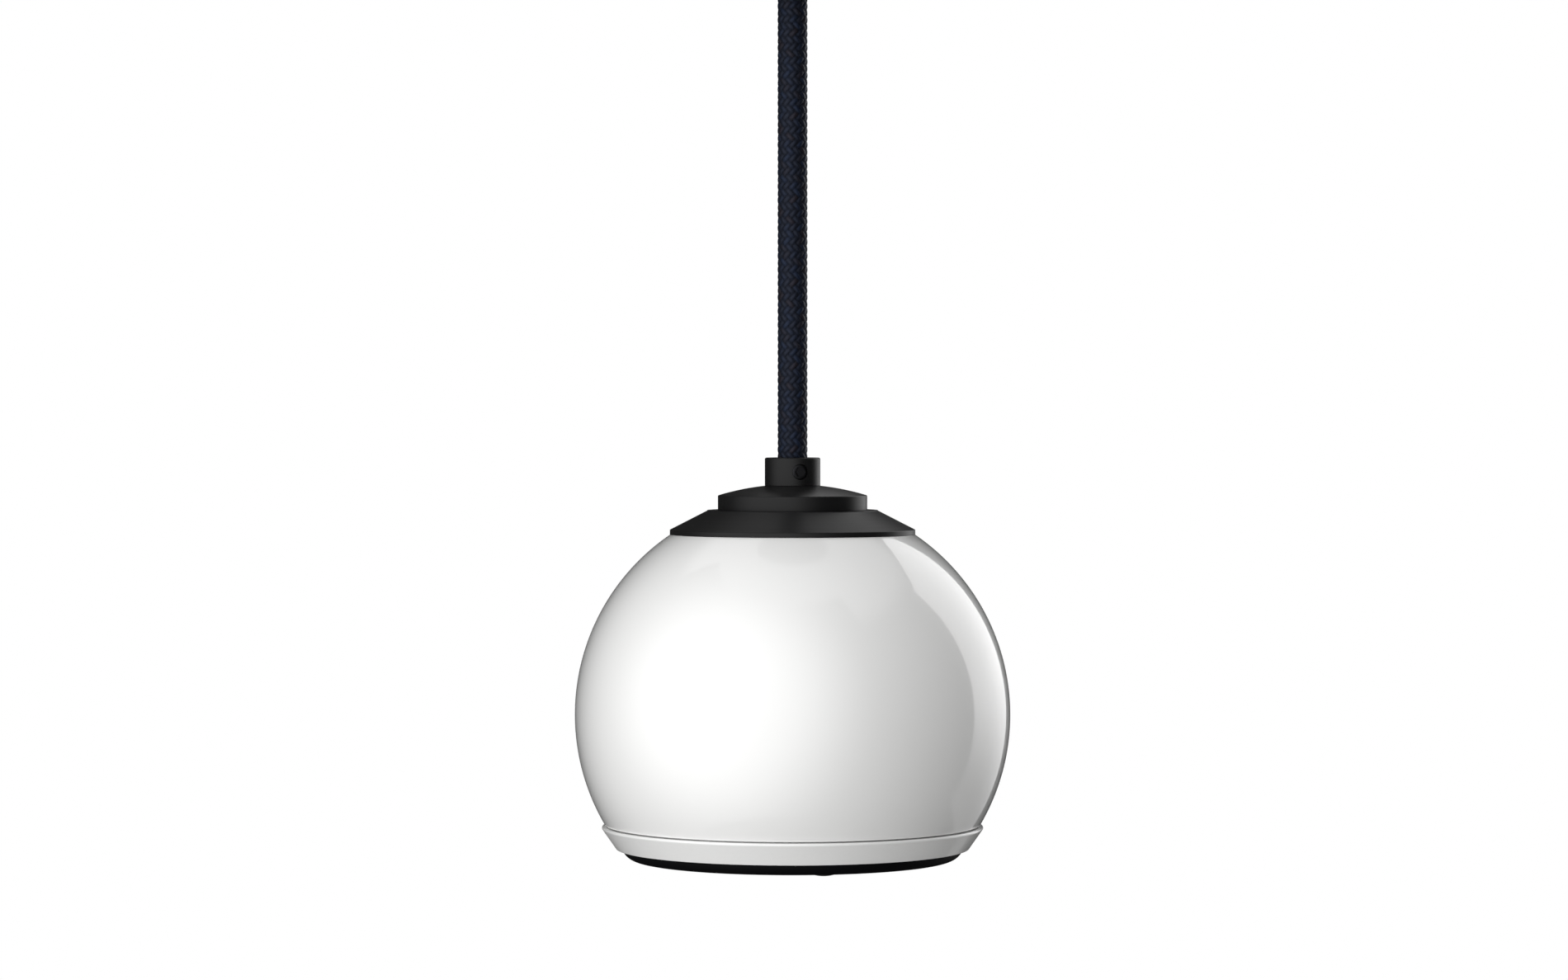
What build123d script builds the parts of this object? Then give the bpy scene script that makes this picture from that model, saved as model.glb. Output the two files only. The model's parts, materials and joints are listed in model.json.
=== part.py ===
from build123d import *
import os
from math import asin, cos, degrees, hypot, radians, sin, sqrt, tan

# Pendant speaker: a white ball on a round textile cable, under a black three-tier cap, with a
# small full-range loudspeaker that faces down behind a perforated grille.
# Millimetres, +Z up. The origin is on the ceiling, at the middle of the fixing bracket, and the
# front of the speaker faces -Y.

# Fits, each on the radius or across the gap
GLUE_GAP = 0.05       # glued, threaded or running faces that are round
SLIP_GAP = 0.10       # one piece slipped into or over another
SHADOW_GAP = 0.30     # the dark line between the ball and its front ring
MOTION_GAP = 0.40     # between the moving coil and the magnet system
CLOTH_GAP = 0.20      # between felt and the wall that it is stuck to

# Cable and cord grips
CABLE_R = 3.5
CABLE_DROP = 114.0    # free length between the two grips
GRIP_LAND = 1.55      # of a collar past its stem
GRIP_HEIGHT = 6.6
GRIP_EDGE = 0.4
STEM_WALL = 1.35      # makes an M10 fine thread round a 7 mm cable
STEM_ROOM = 0.15
GRUB_R = 1.80         # M4 set screw, mean of its thread
GRUB_SUNK = 0.30
GRUB_SOCKET_AF = 2.0
GRUB_SOCKET_DEPTH = 1.4
GRUB_TURN = 4.0       # degrees that the speaker's set screw stops past the front
NUT_WALL = 2.05       # from the thread to the nut's flats
NUT_HEIGHT = 4.0

# Ceiling cup and bracket
CUP_R = 40.0
CUP_HEIGHT = 25.0
CUP_WALL = 1.0
CUP_CORNER = 5.0
CUP_LIFT = 0.3        # the bracket meets the ceiling just before the cup's rim does
STRAP_WIDTH = 18.0
STRAP_THICK = 1.5
EAR_GAP = 1.6         # between an ear and the cup's wall
STRAP_BEND = 2.5
EAR_DROP = 12.0
SLOT_SPACING = 54.0
SLOT_LENGTH = 10.0
SLOT_WIDTH = 4.5
WIRE_WAY_R = 5.0
WIRE_WAY_X = -12.0
CUP_SCREW_R = 1.95
CUP_SCREW_DROP = 7.0
CUP_SCREW_HEAD_R = 4.0
CUP_SCREW_HEAD = 2.4
CUP_SCREW_LENGTH = 7.0
CEILING_STEM = 10.0
JACKET_PAST_STEM = 1.5

# Terminal block in the cup
BLOCK_LENGTH = 11.0
BLOCK_WIDTH = 16.0
BLOCK_HEIGHT = 9.0
BLOCK_X = 14.0
WAY_PITCH = 8.0
WAY_R = 1.4
CLAMP_SCREW_R = 1.3
CLAMP_SCREW_HEIGHT = 2.5
CLAMP_SLOT = 0.5
FIX_SCREW_R = 1.2
FIX_SCREW_HEAD_R = 2.3
FIX_SCREW_HEAD = 1.2
CORE_R = 1.0
CORE_PITCH = 2.6

# Ball, which is as large as the opening for the driver asks
SHELL_WALL = 1.2
OPENING_DROP = 25.8   # from the ball's centre down to the opening's edge
SEAT_CUT = 5.0        # what the flat seat under the cap takes off the ball's height
FELT_THICK = 4.0
FELT_FOOT_Z = 3.0
FELT_HOLE_R = 20.0

# Cap
GASKET_THICK = 0.5
GASKET_INNER_R = 8.0
GASKET_OUTER_R = 20.0
FLANGE_R = 28.75
FLANGE_RIM = 1.1
FLANGE_HUB = 1.4      # from the gasket up to the ledge that the dome stands on
FLANGE_LIFT = 0.08    # between the flange's underside and the ball
FLANGE_EDGE = 0.25
LEDGE_REACH = 2.5     # of the flange's flat past the dome
LEDGE_STEP = 0.1      # between that flat and the top of the cone
DOME_R = 17.5
DOME_HEIGHT = 5.7     # from the ledge to the flat where the collar stands
DOME_CROWN_R = 60.0   # radius of the crown's curve
DOME_WALL = 2.0
DOME_EDGE = 0.3
WASHER_R = 11.0
WASHER_THICK = 1.2
STEM_BELOW_NUT = 1.1
STOP_WALL = 1.7
STOP_LENGTH = 5.5
JACKET_PAST_STOP = 2.0

# Front ring
RING_PROUD = 1.07     # of its shoulder's corner past the ball's edge
RING_CORNER_FILLET = 0.41
RING_HEIGHT = 5.55    # from the opening's edge to its foot
RING_LIP = 1.2
FRAME_ROOM = 1.7      # between the driver's frame and the recess
BAFFLE_LIFT = 0.8     # of the driver's seat above the opening's edge
BAFFLE_THICK = 2.2
BAFFLE_HOLE_ROOM = 1.4
SKIRT_WALL = 2.0
SKIRT_GAP = 0.3       # between the skirt and the shell's edge
SKIRT_HEIGHT = 5.3
HOOK_COUNT = 4
HOOK_WIDTH = 10.0
HOOK_REACH = 1.0
HOOK_LIFT = 1.8
BOSS_R = 3.0
BOSS_ROOM = 0.65      # between a boss and the driver's frame
BOSS_ROOF = 1.6
PILOT_ROOM = 0.6

# Grille
GRILLE_GAP = 0.15
GRILLE_SHEET = 0.8
GRILLE_PROUD = 2.7    # of its face below the ring's foot
GRILLE_SHOULDER = 3.8
HOLE_PITCH = 4.2
HOLE_AF = 3.0
PLAIN_RIM = 5.1       # flat rim outside the holes
BADGE_R = 2.5
BADGE_THICK = 0.5
BADGE_EDGE = 0.15

# Driver: frame
DRIVER_GASKET = 0.5
FRAME_R = 38.5
FRAME_FLANGE = 1.5
FRAME_WALL = 1.2
FRAME_DEPTH = 21.5    # from the flange's back to the magnet's plate
NECK_WALL = 2.0       # from the mouth to the outside of the wall, at the flange
WALL_TAPER = 8.2      # what the wall draws in from the flange to the spider's ledge
LEDGE_WIDTH = 4.2
CAN_HEIGHT = 4.2
BACK_HOLE_ROOM = 1.4
WINDOW_COUNT = 6
WINDOW_FOOT_LIFT = 2.9
WINDOW_TOP_DROP = 3.0
WINDOW_FOOT_WIDTH = 19.0
WINDOW_TOP_WIDTH = 15.0
WINDOW_CORNER = 1.5
SCREW_COUNT = 4
SCREW_EDGE = 2.25     # from the frame's edge to the screws
SCREW_R = 1.45
SCREW_LENGTH = 8.8
SCREW_HEAD_R = 2.4
SCREW_HEAD = 1.6

# Driver: magnet system
PLATE_THICK = 4.0
MAGNET_R = 27.0
MAGNET_BORE_ROOM = 0.9
MAGNET_THICK = 10.0
PLATE_INSET = 3.0     # of the top plate's edge from the magnet's
YOKE_INSET = 2.0
YOKE_THICK = 4.0
YOKE_CHAMFER = 0.8
POLE_R = 9.3
POLE_PAST_PLATE = 0.5

# Driver: moving parts and their suspension
FORMER_WALL = 0.3
FORMER_PAST_NECK = 2.0
FORMER_PAST_PLATE = 2.5
WINDING_THICK = 0.7
WINDING_BELOW = 1.0   # of the winding past the plate, each way
WINDING_ABOVE = 1.5
CONE_THICK = 0.6
CONE_LIP_WIDTH = 2.4
CONE_LIP_LIFT = 1.1   # of the lip's back past the frame's flange
CONE_BOW = 0.9
CAP_WALL = 0.4
CAP_HEIGHT = 4.0
SURROUND_THICK = 0.5
SURROUND_ROOM = 0.45  # between the surround's rim and the screws' heads
ROLL_R = 2.8
ROLL_OVER_MOUTH = 0.4
LIP_ROOM = 0.4        # between the roll and the cone's edge
LIP_OVERLAP = 1.8     # of the surround on the cone's lip
SPIDER_THICK = 0.4
SPIDER_RIM = 0.6      # flat rim of the spider past the can
SPIDER_HUB = 1.4      # flat hub round the coil former
SPIDER_FALL = 2.2
SPIDER_PITCH = 2.05   # from wave to wave
SPIDER_WAVE = 0.45

# Driver: terminal strip and leads
STRIP_WIDTH = 14.0
STRIP_GAP = 0.7       # between the strip and the can
STRIP_LENGTH = 11.0
STRIP_THICK = 1.2
TAG_X = 3.6
TAG_ALONG = 8.3
TAG_WIDTH = 3.0
TAG_LENGTH = 4.4
TAG_THICK = 0.4
TINSEL_R = 0.45
TINSEL_INSET = 4.0    # from the cone's lip to where the braid is glued
RUN_SHARE = 0.45      # how much of its shorter run an arc of a lead may take

# Worked out from the values above: grips and cup
BORE_R = CABLE_R + SLIP_GAP
STEM_R = BORE_R + STEM_WALL
STEM_HOLE_R = STEM_R + STEM_ROOM
GRIP_R = STEM_R + GRIP_LAND
NUT_AF = 2 * (STEM_R + NUT_WALL)
STOP_R = CABLE_R + STOP_WALL
STRAP_REACH = CUP_R - CUP_WALL - EAR_GAP
JACKET_TOP_Z = -CUP_HEIGHT + CEILING_STEM + JACKET_PAST_STEM

# Radii of the driver, from its edge inwards
SCREW_PITCH_R = FRAME_R - SCREW_EDGE
FRAME_NECK_R = SCREW_PITCH_R - BOSS_R - BOSS_ROOM
FRAME_MOUTH_R = FRAME_NECK_R - NECK_WALL
BAFFLE_HOLE_R = FRAME_NECK_R + BAFFLE_HOLE_ROOM
SURROUND_R = SCREW_PITCH_R - SCREW_HEAD_R - SURROUND_ROOM
ROLL_CENTRE_R = FRAME_MOUTH_R + ROLL_OVER_MOUTH - ROLL_R
CONE_LIP_R = ROLL_CENTRE_R - ROLL_R - LIP_ROOM
CONE_LIP_FROM_R = CONE_LIP_R - CONE_LIP_WIDTH
SURROUND_LIP_R = CONE_LIP_R - LIP_OVERLAP
LEDGE_R = FRAME_NECK_R - WALL_TAPER
SPIDER_R = LEDGE_R - FRAME_WALL
CAN_R = LEDGE_R - LEDGE_WIDTH
SPIDER_FROM_R = CAN_R - SPIDER_RIM
TOP_PLATE_R = MAGNET_R - PLATE_INSET
YOKE_R = MAGNET_R - YOKE_INSET
FORMER_R = POLE_R + MOTION_GAP + FORMER_WALL
GAP_R = FORMER_R + WINDING_THICK + MOTION_GAP
BACK_HOLE_R = GAP_R + BACK_HOLE_ROOM
MAGNET_BORE_R = GAP_R + MAGNET_BORE_ROOM
SPIDER_HUB_R = FORMER_R + SPIDER_HUB
STRIP_FROM_Y = CAN_R + STRIP_GAP
TAG_Y = STRIP_FROM_Y + TAG_ALONG
TINSEL_END_Y = CONE_LIP_FROM_R - TINSEL_INSET

# Radii of the ring, the grille and the ball, from the driver outwards
RECESS_R = FRAME_R + FRAME_ROOM
RING_FOOT_R = RECESS_R + RING_LIP
SKIRT_R = RECESS_R + SLIP_GAP + SKIRT_WALL
HOOK_R = SKIRT_R + HOOK_REACH
INNER_R = hypot(SKIRT_R + SKIRT_GAP, OPENING_DROP)
BALL_R = INNER_R + SHELL_WALL
RING_CORNER_R = sqrt(BALL_R**2 - OPENING_DROP**2) + RING_PROUD
GRILLE_FACE_R = RECESS_R - GRILLE_SHOULDER
HOLE_FIELD_R = GRILLE_FACE_R - PLAIN_RIM
BADGE_AT_R = GRILLE_FACE_R - PLAIN_RIM / 2

# Heights from the ball's centre, up the cap
SEAT_Z = BALL_R - SEAT_CUT
HUB_Z = SEAT_Z + GASKET_THICK
FLANGE_LEDGE_Z = HUB_Z + FLANGE_HUB
FLANGE_CONE_TOP_R = DOME_R + LEDGE_REACH
FLANGE_CONE_TOP_Z = FLANGE_LEDGE_Z - LEDGE_STEP
DOME_TOP_Z = FLANGE_LEDGE_Z + DOME_HEIGHT
STEM_FOOT_Z = SEAT_Z - SHELL_WALL - WASHER_THICK - NUT_HEIGHT - STEM_BELOW_NUT
JACKET_FOOT_Z = STEM_FOOT_Z - STOP_LENGTH - JACKET_PAST_STOP

# Heights from the ball's centre, down the opening and up the driver
OPENING_Z = -OPENING_DROP
RING_FOOT_Z = OPENING_Z - RING_HEIGHT
GRILLE_FACE_Z = RING_FOOT_Z - GRILLE_PROUD
SKIRT_TOP_Z = OPENING_Z + SKIRT_HEIGHT
HOOK_FOOT_Z = OPENING_Z + HOOK_LIFT
BAFFLE_Z = OPENING_Z + BAFFLE_LIFT
FRAME_TOP_Z = BAFFLE_Z - DRIVER_GASKET
FRAME_FRONT_Z = FRAME_TOP_Z - FRAME_FLANGE
PILOT_TOP_Z = FRAME_FRONT_Z + SCREW_LENGTH + PILOT_ROOM
BOSS_TOP_Z = PILOT_TOP_Z + BOSS_ROOF
BACK_Z = FRAME_TOP_Z + FRAME_DEPTH
LEDGE_Z = BACK_Z - CAN_HEIGHT
WINDOW_FOOT_Z = FRAME_TOP_Z + WINDOW_FOOT_LIFT
WINDOW_TOP_Z = LEDGE_Z - WINDOW_TOP_DROP
PLATE_TOP_Z = BACK_Z + PLATE_THICK
CONE_NECK_Z = LEDGE_Z - FRAME_WALL - SPIDER_FALL - SPIDER_THICK
CONE_LIP_Z = FRAME_TOP_Z + CONE_LIP_LIFT
FORMER_FOOT_Z = CONE_NECK_Z - FORMER_PAST_NECK
FORMER_TOP_Z = PLATE_TOP_Z + FORMER_PAST_PLATE
WINDING_FOOT_Z = BACK_Z - WINDING_BELOW
WINDING_TOP_Z = PLATE_TOP_Z + WINDING_ABOVE

BALL_Z = -(CUP_HEIGHT + GRIP_HEIGHT + CABLE_DROP + GRIP_HEIGHT + DOME_TOP_Z)
BALL = Pos(0, 0, BALL_Z)
FRONT = -90.0         # compass of -Y, in degrees from +X

def height_at(radius, r):
    # height on a circle about the ball's centre at the distance r from the axis
    return sqrt(radius**2 - r**2)

def ball_arc(radius, from_z, to_z):
    # arc about the ball's centre between two heights, in the (r, z) half plane
    start = degrees(asin(from_z / radius))
    end = degrees(asin(to_z / radius))
    return CenterArc((0, 0), radius, start, end - start)

def turned(*outline):
    # solid of revolution about Z from edges that close, in the (r, z) half plane
    edges = [edge for curve in outline for edge in curve.edges()]
    return revolve(Plane.XZ * make_face(edges), Axis.Z)

def turned_section(*corners):
    # the same from corners (r, z) or (r, z, fillet)
    points = [corner[:2] for corner in corners]
    fillets = [corner[2] if len(corner) > 2 else 0 for corner in corners]
    return turned(FilletPolyline(*points, radius=fillets, close=True))

def washer(inner_r, outer_r, foot_z, top_z):
    return turned_section((inner_r, foot_z), (outer_r, foot_z), (outer_r, top_z), (inner_r, top_z))

def disc(radius, foot_z, top_z):
    return Pos(0, 0, foot_z) * extrude(Circle(radius), top_z - foot_z)

def compass(count, first=0.0):
    return [Rot(0, 0, first + 360 * turn / count) for turn in range(count)]

def group(solids):
    return Compound(children=list(solids))

def lead(points, radius):
    # round lead along straight runs joined by arcs as large as the runs allow
    runs = [b - a for a, b in zip(points, points[1:])]
    arcs = []
    for before, after in zip(runs, runs[1:]):
        turn = radians(before.get_angle(after))
        arcs.append(RUN_SHARE * min(before.length, after.length) / tan(turn / 2))
    print("lead arcs", [round(arc, 1) for arc in arcs])
    path = FilletPolyline(*points, radius=arcs)
    return sweep(Plane(path @ 0, z_dir=path % 0) * Circle(radius), path)

# Cord grips

def cord_grip(stem_length):
    # collar with its foot at z = 0, on a hollow stem that hangs below
    collar = turned_section(
        (BORE_R, -stem_length), (STEM_R, -stem_length), (STEM_R, 0), (GRIP_R, 0),
        (GRIP_R, GRIP_HEIGHT, GRIP_EDGE), (BORE_R, GRIP_HEIGHT))
    tapped = Rot(0, 0, FRONT + GRUB_TURN) * Pos(0, 0, GRIP_HEIGHT / 2) * Rot(0, 90, 0)
    return collar - tapped * extrude(Circle(GRUB_R + GLUE_GAP), GRIP_R + SLIP_GAP)

def set_screw():
    # socket screw in the collar, its tip just clear of the cable
    tip = CABLE_R + GLUE_GAP
    length = GRIP_R - GRUB_SUNK - tip
    screw = extrude(Circle(GRUB_R), length)
    screw = chamfer(screw.edges().group_by(Axis.Z)[0], GRUB_R / 6)
    socket = extrude(RegularPolygon(GRUB_SOCKET_AF / 2, 6, major_radius=False), -GRUB_SOCKET_DEPTH)
    screw -= Pos(0, 0, length) * socket
    return Rot(0, 0, FRONT + GRUB_TURN) * Pos(0, 0, GRIP_HEIGHT / 2) * Rot(0, 90, 0) * Pos(0, 0, tip) * screw

def hex_nut():
    nut = extrude(RegularPolygon(NUT_AF / 2, 6, major_radius=False), NUT_HEIGHT)
    return nut - extrude(Circle(STEM_R + GLUE_GAP), NUT_HEIGHT)

# Ceiling end

CEILING_GRIP = Pos(0, 0, -CUP_HEIGHT) * Rot(180, 0, 0)
EAR_SIDES = [Rot(0, 0, 0), Rot(0, 0, 180)]

def make_ceiling_bracket():
    half = STRAP_REACH
    inside = half - STRAP_THICK
    outline = FilletPolyline(
        (-half, -EAR_DROP), (-half, 0), (half, 0), (half, -EAR_DROP),
        (inside, -EAR_DROP), (inside, -STRAP_THICK), (-inside, -STRAP_THICK), (-inside, -EAR_DROP),
        radius=[0, STRAP_BEND, STRAP_BEND, 0, 0, STRAP_BEND - STRAP_THICK, STRAP_BEND - STRAP_THICK, 0],
        close=True)
    strap = extrude(Plane.XZ * make_face(outline.edges()), STRAP_WIDTH / 2, both=True)
    slot = SlotOverall(SLOT_LENGTH, SLOT_WIDTH)
    for side in (-1, 1):
        strap -= extrude(Pos(side * SLOT_SPACING / 2, 0, 0) * slot, -STRAP_THICK)
    strap -= extrude(Pos(WIRE_WAY_X, 0, 0) * Circle(WIRE_WAY_R), -STRAP_THICK)
    strap -= extrude(Pos(BLOCK_X, 0, 0) * Circle(FIX_SCREW_R + GLUE_GAP), -STRAP_THICK)
    for side in EAR_SIDES:
        hole = Pos(inside, 0, -CUP_SCREW_DROP) * Rot(0, 90, 0)
        strap -= side * hole * extrude(Circle(CUP_SCREW_R + GLUE_GAP), STRAP_THICK)
    return strap

def make_ceiling_cup():
    top, foot, inside = -CUP_LIFT, -CUP_HEIGHT, CUP_R - CUP_WALL
    cup = turned_section(
        (STEM_HOLE_R, foot), (CUP_R, foot, CUP_CORNER), (CUP_R, top), (inside, top),
        (inside, foot + CUP_WALL, CUP_CORNER - CUP_WALL), (STEM_HOLE_R, foot + CUP_WALL))
    for side in EAR_SIDES:
        hole = Pos(inside - CUP_WALL, 0, -CUP_SCREW_DROP) * Rot(0, 90, 0)
        cup -= side * hole * extrude(Circle(CUP_SCREW_R + SLIP_GAP), 3 * CUP_WALL)
    return cup

def make_cup_screws():
    head = extrude(Circle(CUP_SCREW_HEAD_R), CUP_SCREW_HEAD)
    head = fillet(head.edges().group_by(Axis.Z)[-1], CUP_SCREW_HEAD / 2)
    head -= Pos(0, 0, CUP_SCREW_HEAD) * extrude(Rectangle(2 * CUP_SCREW_HEAD_R, 1.0), -0.8)
    screw = head + extrude(Circle(CUP_SCREW_R), -CUP_SCREW_LENGTH)
    seat = Pos(CUP_R + GLUE_GAP, 0, -CUP_SCREW_DROP) * Rot(0, 90, 0)
    return group(side * seat * screw for side in EAR_SIDES)

def block_ways():
    return [Pos(BLOCK_X, side * WAY_PITCH / 2, -STRAP_THICK) for side in (-1, 1)]

def make_terminal_block():
    size = (BLOCK_LENGTH, BLOCK_WIDTH, BLOCK_HEIGHT)
    block = Pos(BLOCK_X, 0, -STRAP_THICK) * Box(*size, align=(Align.CENTER, Align.CENTER, Align.MAX))
    block = fillet(block.edges().filter_by(Axis.Z), 1.0)
    for way in block_ways():
        entry = way * Pos(-BLOCK_LENGTH / 2, 0, -BLOCK_HEIGHT / 2) * Rot(0, 90, 0)
        block -= entry * extrude(Circle(WAY_R), BLOCK_LENGTH)
        well = way * Pos(0, 0, -BLOCK_HEIGHT)
        block -= well * extrude(Circle(CLAMP_SCREW_R + SLIP_GAP), BLOCK_HEIGHT / 2)
    fixing = Pos(BLOCK_X, 0, -STRAP_THICK - BLOCK_HEIGHT)
    block -= fixing * extrude(Circle(FIX_SCREW_R + SLIP_GAP), BLOCK_HEIGHT)
    block -= fixing * extrude(Circle(FIX_SCREW_HEAD_R + SLIP_GAP), FIX_SCREW_HEAD)
    return block

def make_terminal_screws():
    screw = extrude(Circle(CLAMP_SCREW_R), CLAMP_SCREW_HEIGHT)
    screw -= extrude(Rectangle(2 * CLAMP_SCREW_R, CLAMP_SLOT), CLAMP_SLOT)
    return group(way * Pos(0, 0, -BLOCK_HEIGHT + GLUE_GAP) * screw for way in block_ways())

def make_block_screw():
    foot = Pos(BLOCK_X, 0, -STRAP_THICK - BLOCK_HEIGHT)
    head = extrude(Circle(FIX_SCREW_HEAD_R), FIX_SCREW_HEAD)
    head -= extrude(Rectangle(2 * FIX_SCREW_HEAD_R, CLAMP_SLOT), CLAMP_SLOT)
    return foot * (head + extrude(Circle(FIX_SCREW_R), BLOCK_HEIGHT + STRAP_THICK))

def make_top_core(side):
    # from the jacket's end up and over into the block
    entry_z = -STRAP_THICK - BLOCK_HEIGHT / 2
    entry_x = BLOCK_X - BLOCK_LENGTH / 2
    route = [
        Vector(0, side * CORE_PITCH / 2, JACKET_TOP_Z),
        Vector(0, side * CORE_PITCH / 2, JACKET_TOP_Z + 4),
        Vector(entry_x - 5, side * WAY_PITCH / 2, entry_z),
        Vector(entry_x + 2, side * WAY_PITCH / 2, entry_z)]
    return lead(route, CORE_R)

# Cable and cap

def make_hanging_cable():
    return disc(CABLE_R, BALL_Z + JACKET_FOOT_Z, JACKET_TOP_Z)

def crown_height(r):
    crown_centre_z = DOME_TOP_Z - height_at(DOME_CROWN_R, GRIP_R)
    return crown_centre_z + height_at(DOME_CROWN_R, r)

def make_cap_dome():
    # low turned cup with a crowned top and a flat for the collar
    edge_z = crown_height(DOME_R)
    inner_r = DOME_R - DOME_WALL
    crown = RadiusArc((DOME_R, edge_z), (GRIP_R, DOME_TOP_Z), -DOME_CROWN_R)
    rest = Polyline(
        (GRIP_R, DOME_TOP_Z), (STEM_HOLE_R, DOME_TOP_Z), (STEM_HOLE_R, DOME_TOP_Z - DOME_WALL),
        (GRIP_R, DOME_TOP_Z - DOME_WALL), (inner_r, crown_height(inner_r) - DOME_WALL),
        (inner_r, FLANGE_LEDGE_Z), (DOME_R, FLANGE_LEDGE_Z), (DOME_R, edge_z))
    dome = turned(crown, rest)
    rims = dome.edges().filter_by(GeomType.CIRCLE)
    top_edge = [rim for rim in rims if abs(rim.radius - DOME_R) < GLUE_GAP].copy()
    return fillet(max(top_edge, key=lambda rim: rim.center().Z), DOME_EDGE)

def make_cap_flange():
    # thin conical flange, its underside shaped to the ball
    seat_r = BALL_R + FLANGE_LIFT
    foot_z = height_at(seat_r, FLANGE_R)
    rim_z = foot_z + FLANGE_RIM
    under = ball_arc(seat_r, foot_z, HUB_Z)
    top = FilletPolyline(
        under @ 0, (FLANGE_R, rim_z), (FLANGE_CONE_TOP_R, FLANGE_CONE_TOP_Z),
        (FLANGE_CONE_TOP_R, FLANGE_LEDGE_Z), (STEM_HOLE_R, FLANGE_LEDGE_Z), (STEM_HOLE_R, HUB_Z),
        under @ 1, radius=[FLANGE_EDGE, 0, 0, 0, 0])
    return turned(under, top)

def make_top_gasket():
    return washer(GASKET_INNER_R, GASKET_OUTER_R, SEAT_Z, HUB_Z)

def make_inner_washer():
    top_z = SEAT_Z - SHELL_WALL
    return washer(STEM_HOLE_R, WASHER_R, top_z - WASHER_THICK, top_z)

def make_cable_stop():
    stop = washer(CABLE_R + GLUE_GAP, STOP_R, STEM_FOOT_Z - STOP_LENGTH, STEM_FOOT_Z)
    waist = Torus(STOP_R + 0.6, 1.0)
    return stop - Pos(0, 0, STEM_FOOT_Z - STOP_LENGTH / 2) * waist

# Ball

def make_shell():
    outer = ball_arc(BALL_R, OPENING_Z, SEAT_Z)
    inner = ball_arc(INNER_R, OPENING_Z, SEAT_Z - SHELL_WALL)
    seat = Polyline(
        outer @ 1, (STEM_HOLE_R, SEAT_Z), (STEM_HOLE_R, SEAT_Z - SHELL_WALL), inner @ 1)
    return turned(outer, seat, inner, Line(inner @ 0, outer @ 0))

def make_damping_felt():
    outer_r = INNER_R - CLOTH_GAP
    inner_r = outer_r - FELT_THICK
    outer = ball_arc(outer_r, FELT_FOOT_Z, height_at(outer_r, FELT_HOLE_R + FELT_THICK))
    inner = ball_arc(inner_r, FELT_FOOT_Z, height_at(inner_r, FELT_HOLE_R))
    return turned(outer, Line(outer @ 1, inner @ 1), inner, Line(inner @ 0, outer @ 0))

def make_front_ring():
    # trim, grille recess, baffle and skirt in one moulding
    shoulder_z = OPENING_Z - SHADOW_GAP
    skirt_in = SKIRT_R - SKIRT_WALL
    ring = turned_section(
        (SKIRT_R, shoulder_z), (RING_CORNER_R, shoulder_z, RING_CORNER_FILLET),
        (RING_FOOT_R, RING_FOOT_Z), (RECESS_R, RING_FOOT_Z), (RECESS_R, BAFFLE_Z),
        (BAFFLE_HOLE_R, BAFFLE_Z), (BAFFLE_HOLE_R, BAFFLE_Z + BAFFLE_THICK),
        (skirt_in, BAFFLE_Z + BAFFLE_THICK, 0.8), (skirt_in, SKIRT_TOP_Z), (SKIRT_R, SKIRT_TOP_Z, 0.4))
    root = SKIRT_R - SKIRT_WALL / 2
    hook_face = make_face(Polyline(
        (root, HOOK_FOOT_Z), (HOOK_R, HOOK_FOOT_Z), (SKIRT_R, SKIRT_TOP_Z), (root, SKIRT_TOP_Z),
        close=True).edges())
    hook = extrude(Plane.XZ * hook_face, HOOK_WIDTH / 2, both=True)
    for turn in compass(HOOK_COUNT):
        ring += turn * hook
    boss = Pos(SCREW_PITCH_R, 0, 0) * disc(BOSS_R, BAFFLE_Z + BAFFLE_THICK / 2, BOSS_TOP_Z)
    pilot = Pos(SCREW_PITCH_R, 0, 0) * disc(SCREW_R + GLUE_GAP, BAFFLE_Z, PILOT_TOP_Z)
    for turn in screw_turns():
        ring = ring + turn * boss - turn * pilot
    return ring

# Grille

def hole_field():
    # places of the grille's holes on a hexagonal net inside the plain rim
    row_step = HOLE_PITCH * sin(radians(60))
    hole_corner_r = HOLE_AF / 2 / cos(radians(30))
    rows = int(HOLE_FIELD_R / row_step)
    for row in range(-rows, rows + 1):
        shift = HOLE_PITCH / 2 if row % 2 else 0
        for column in range(-rows, rows + 1):
            x, y = column * HOLE_PITCH + shift, row * row_step
            if hypot(x, y) + hole_corner_r <= HOLE_FIELD_R:
                yield x, y

def make_grille():
    # pressed sheet cup: skirt, rounded shoulder and flat face
    skirt_r = RECESS_R - GRILLE_GAP
    reach = skirt_r - GRILLE_FACE_R
    depth = RING_FOOT_Z - GRILLE_FACE_Z
    bend_r = (reach**2 + depth**2) / (2 * depth)
    bend_z = GRILLE_FACE_Z + bend_r
    inner_bend_r = bend_r - GRILLE_SHEET
    inner_r = skirt_r - GRILLE_SHEET
    outer_turn = degrees(asin(reach / bend_r))
    inner_turn = degrees(asin((inner_r - GRILLE_FACE_R) / inner_bend_r))
    outer = CenterArc((GRILLE_FACE_R, bend_z), bend_r, -90, outer_turn)
    inner = CenterArc((GRILLE_FACE_R, bend_z), inner_bend_r, -90, inner_turn)
    skirt = Polyline(outer @ 1, (skirt_r, BAFFLE_Z), (inner_r, BAFFLE_Z), inner @ 1)
    face = Polyline(inner @ 0, (0, GRILLE_FACE_Z + GRILLE_SHEET), (0, GRILLE_FACE_Z), outer @ 0)
    cup = turned(outer, skirt, inner, face)
    hole = RegularPolygon(HOLE_AF / 2, 6, major_radius=False, rotation=30)
    holes = Sketch() + [Pos(x, y) * hole for x, y in hole_field()]
    return cup - Pos(0, 0, GRILLE_FACE_Z) * extrude(holes, GRILLE_SHEET)

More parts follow.
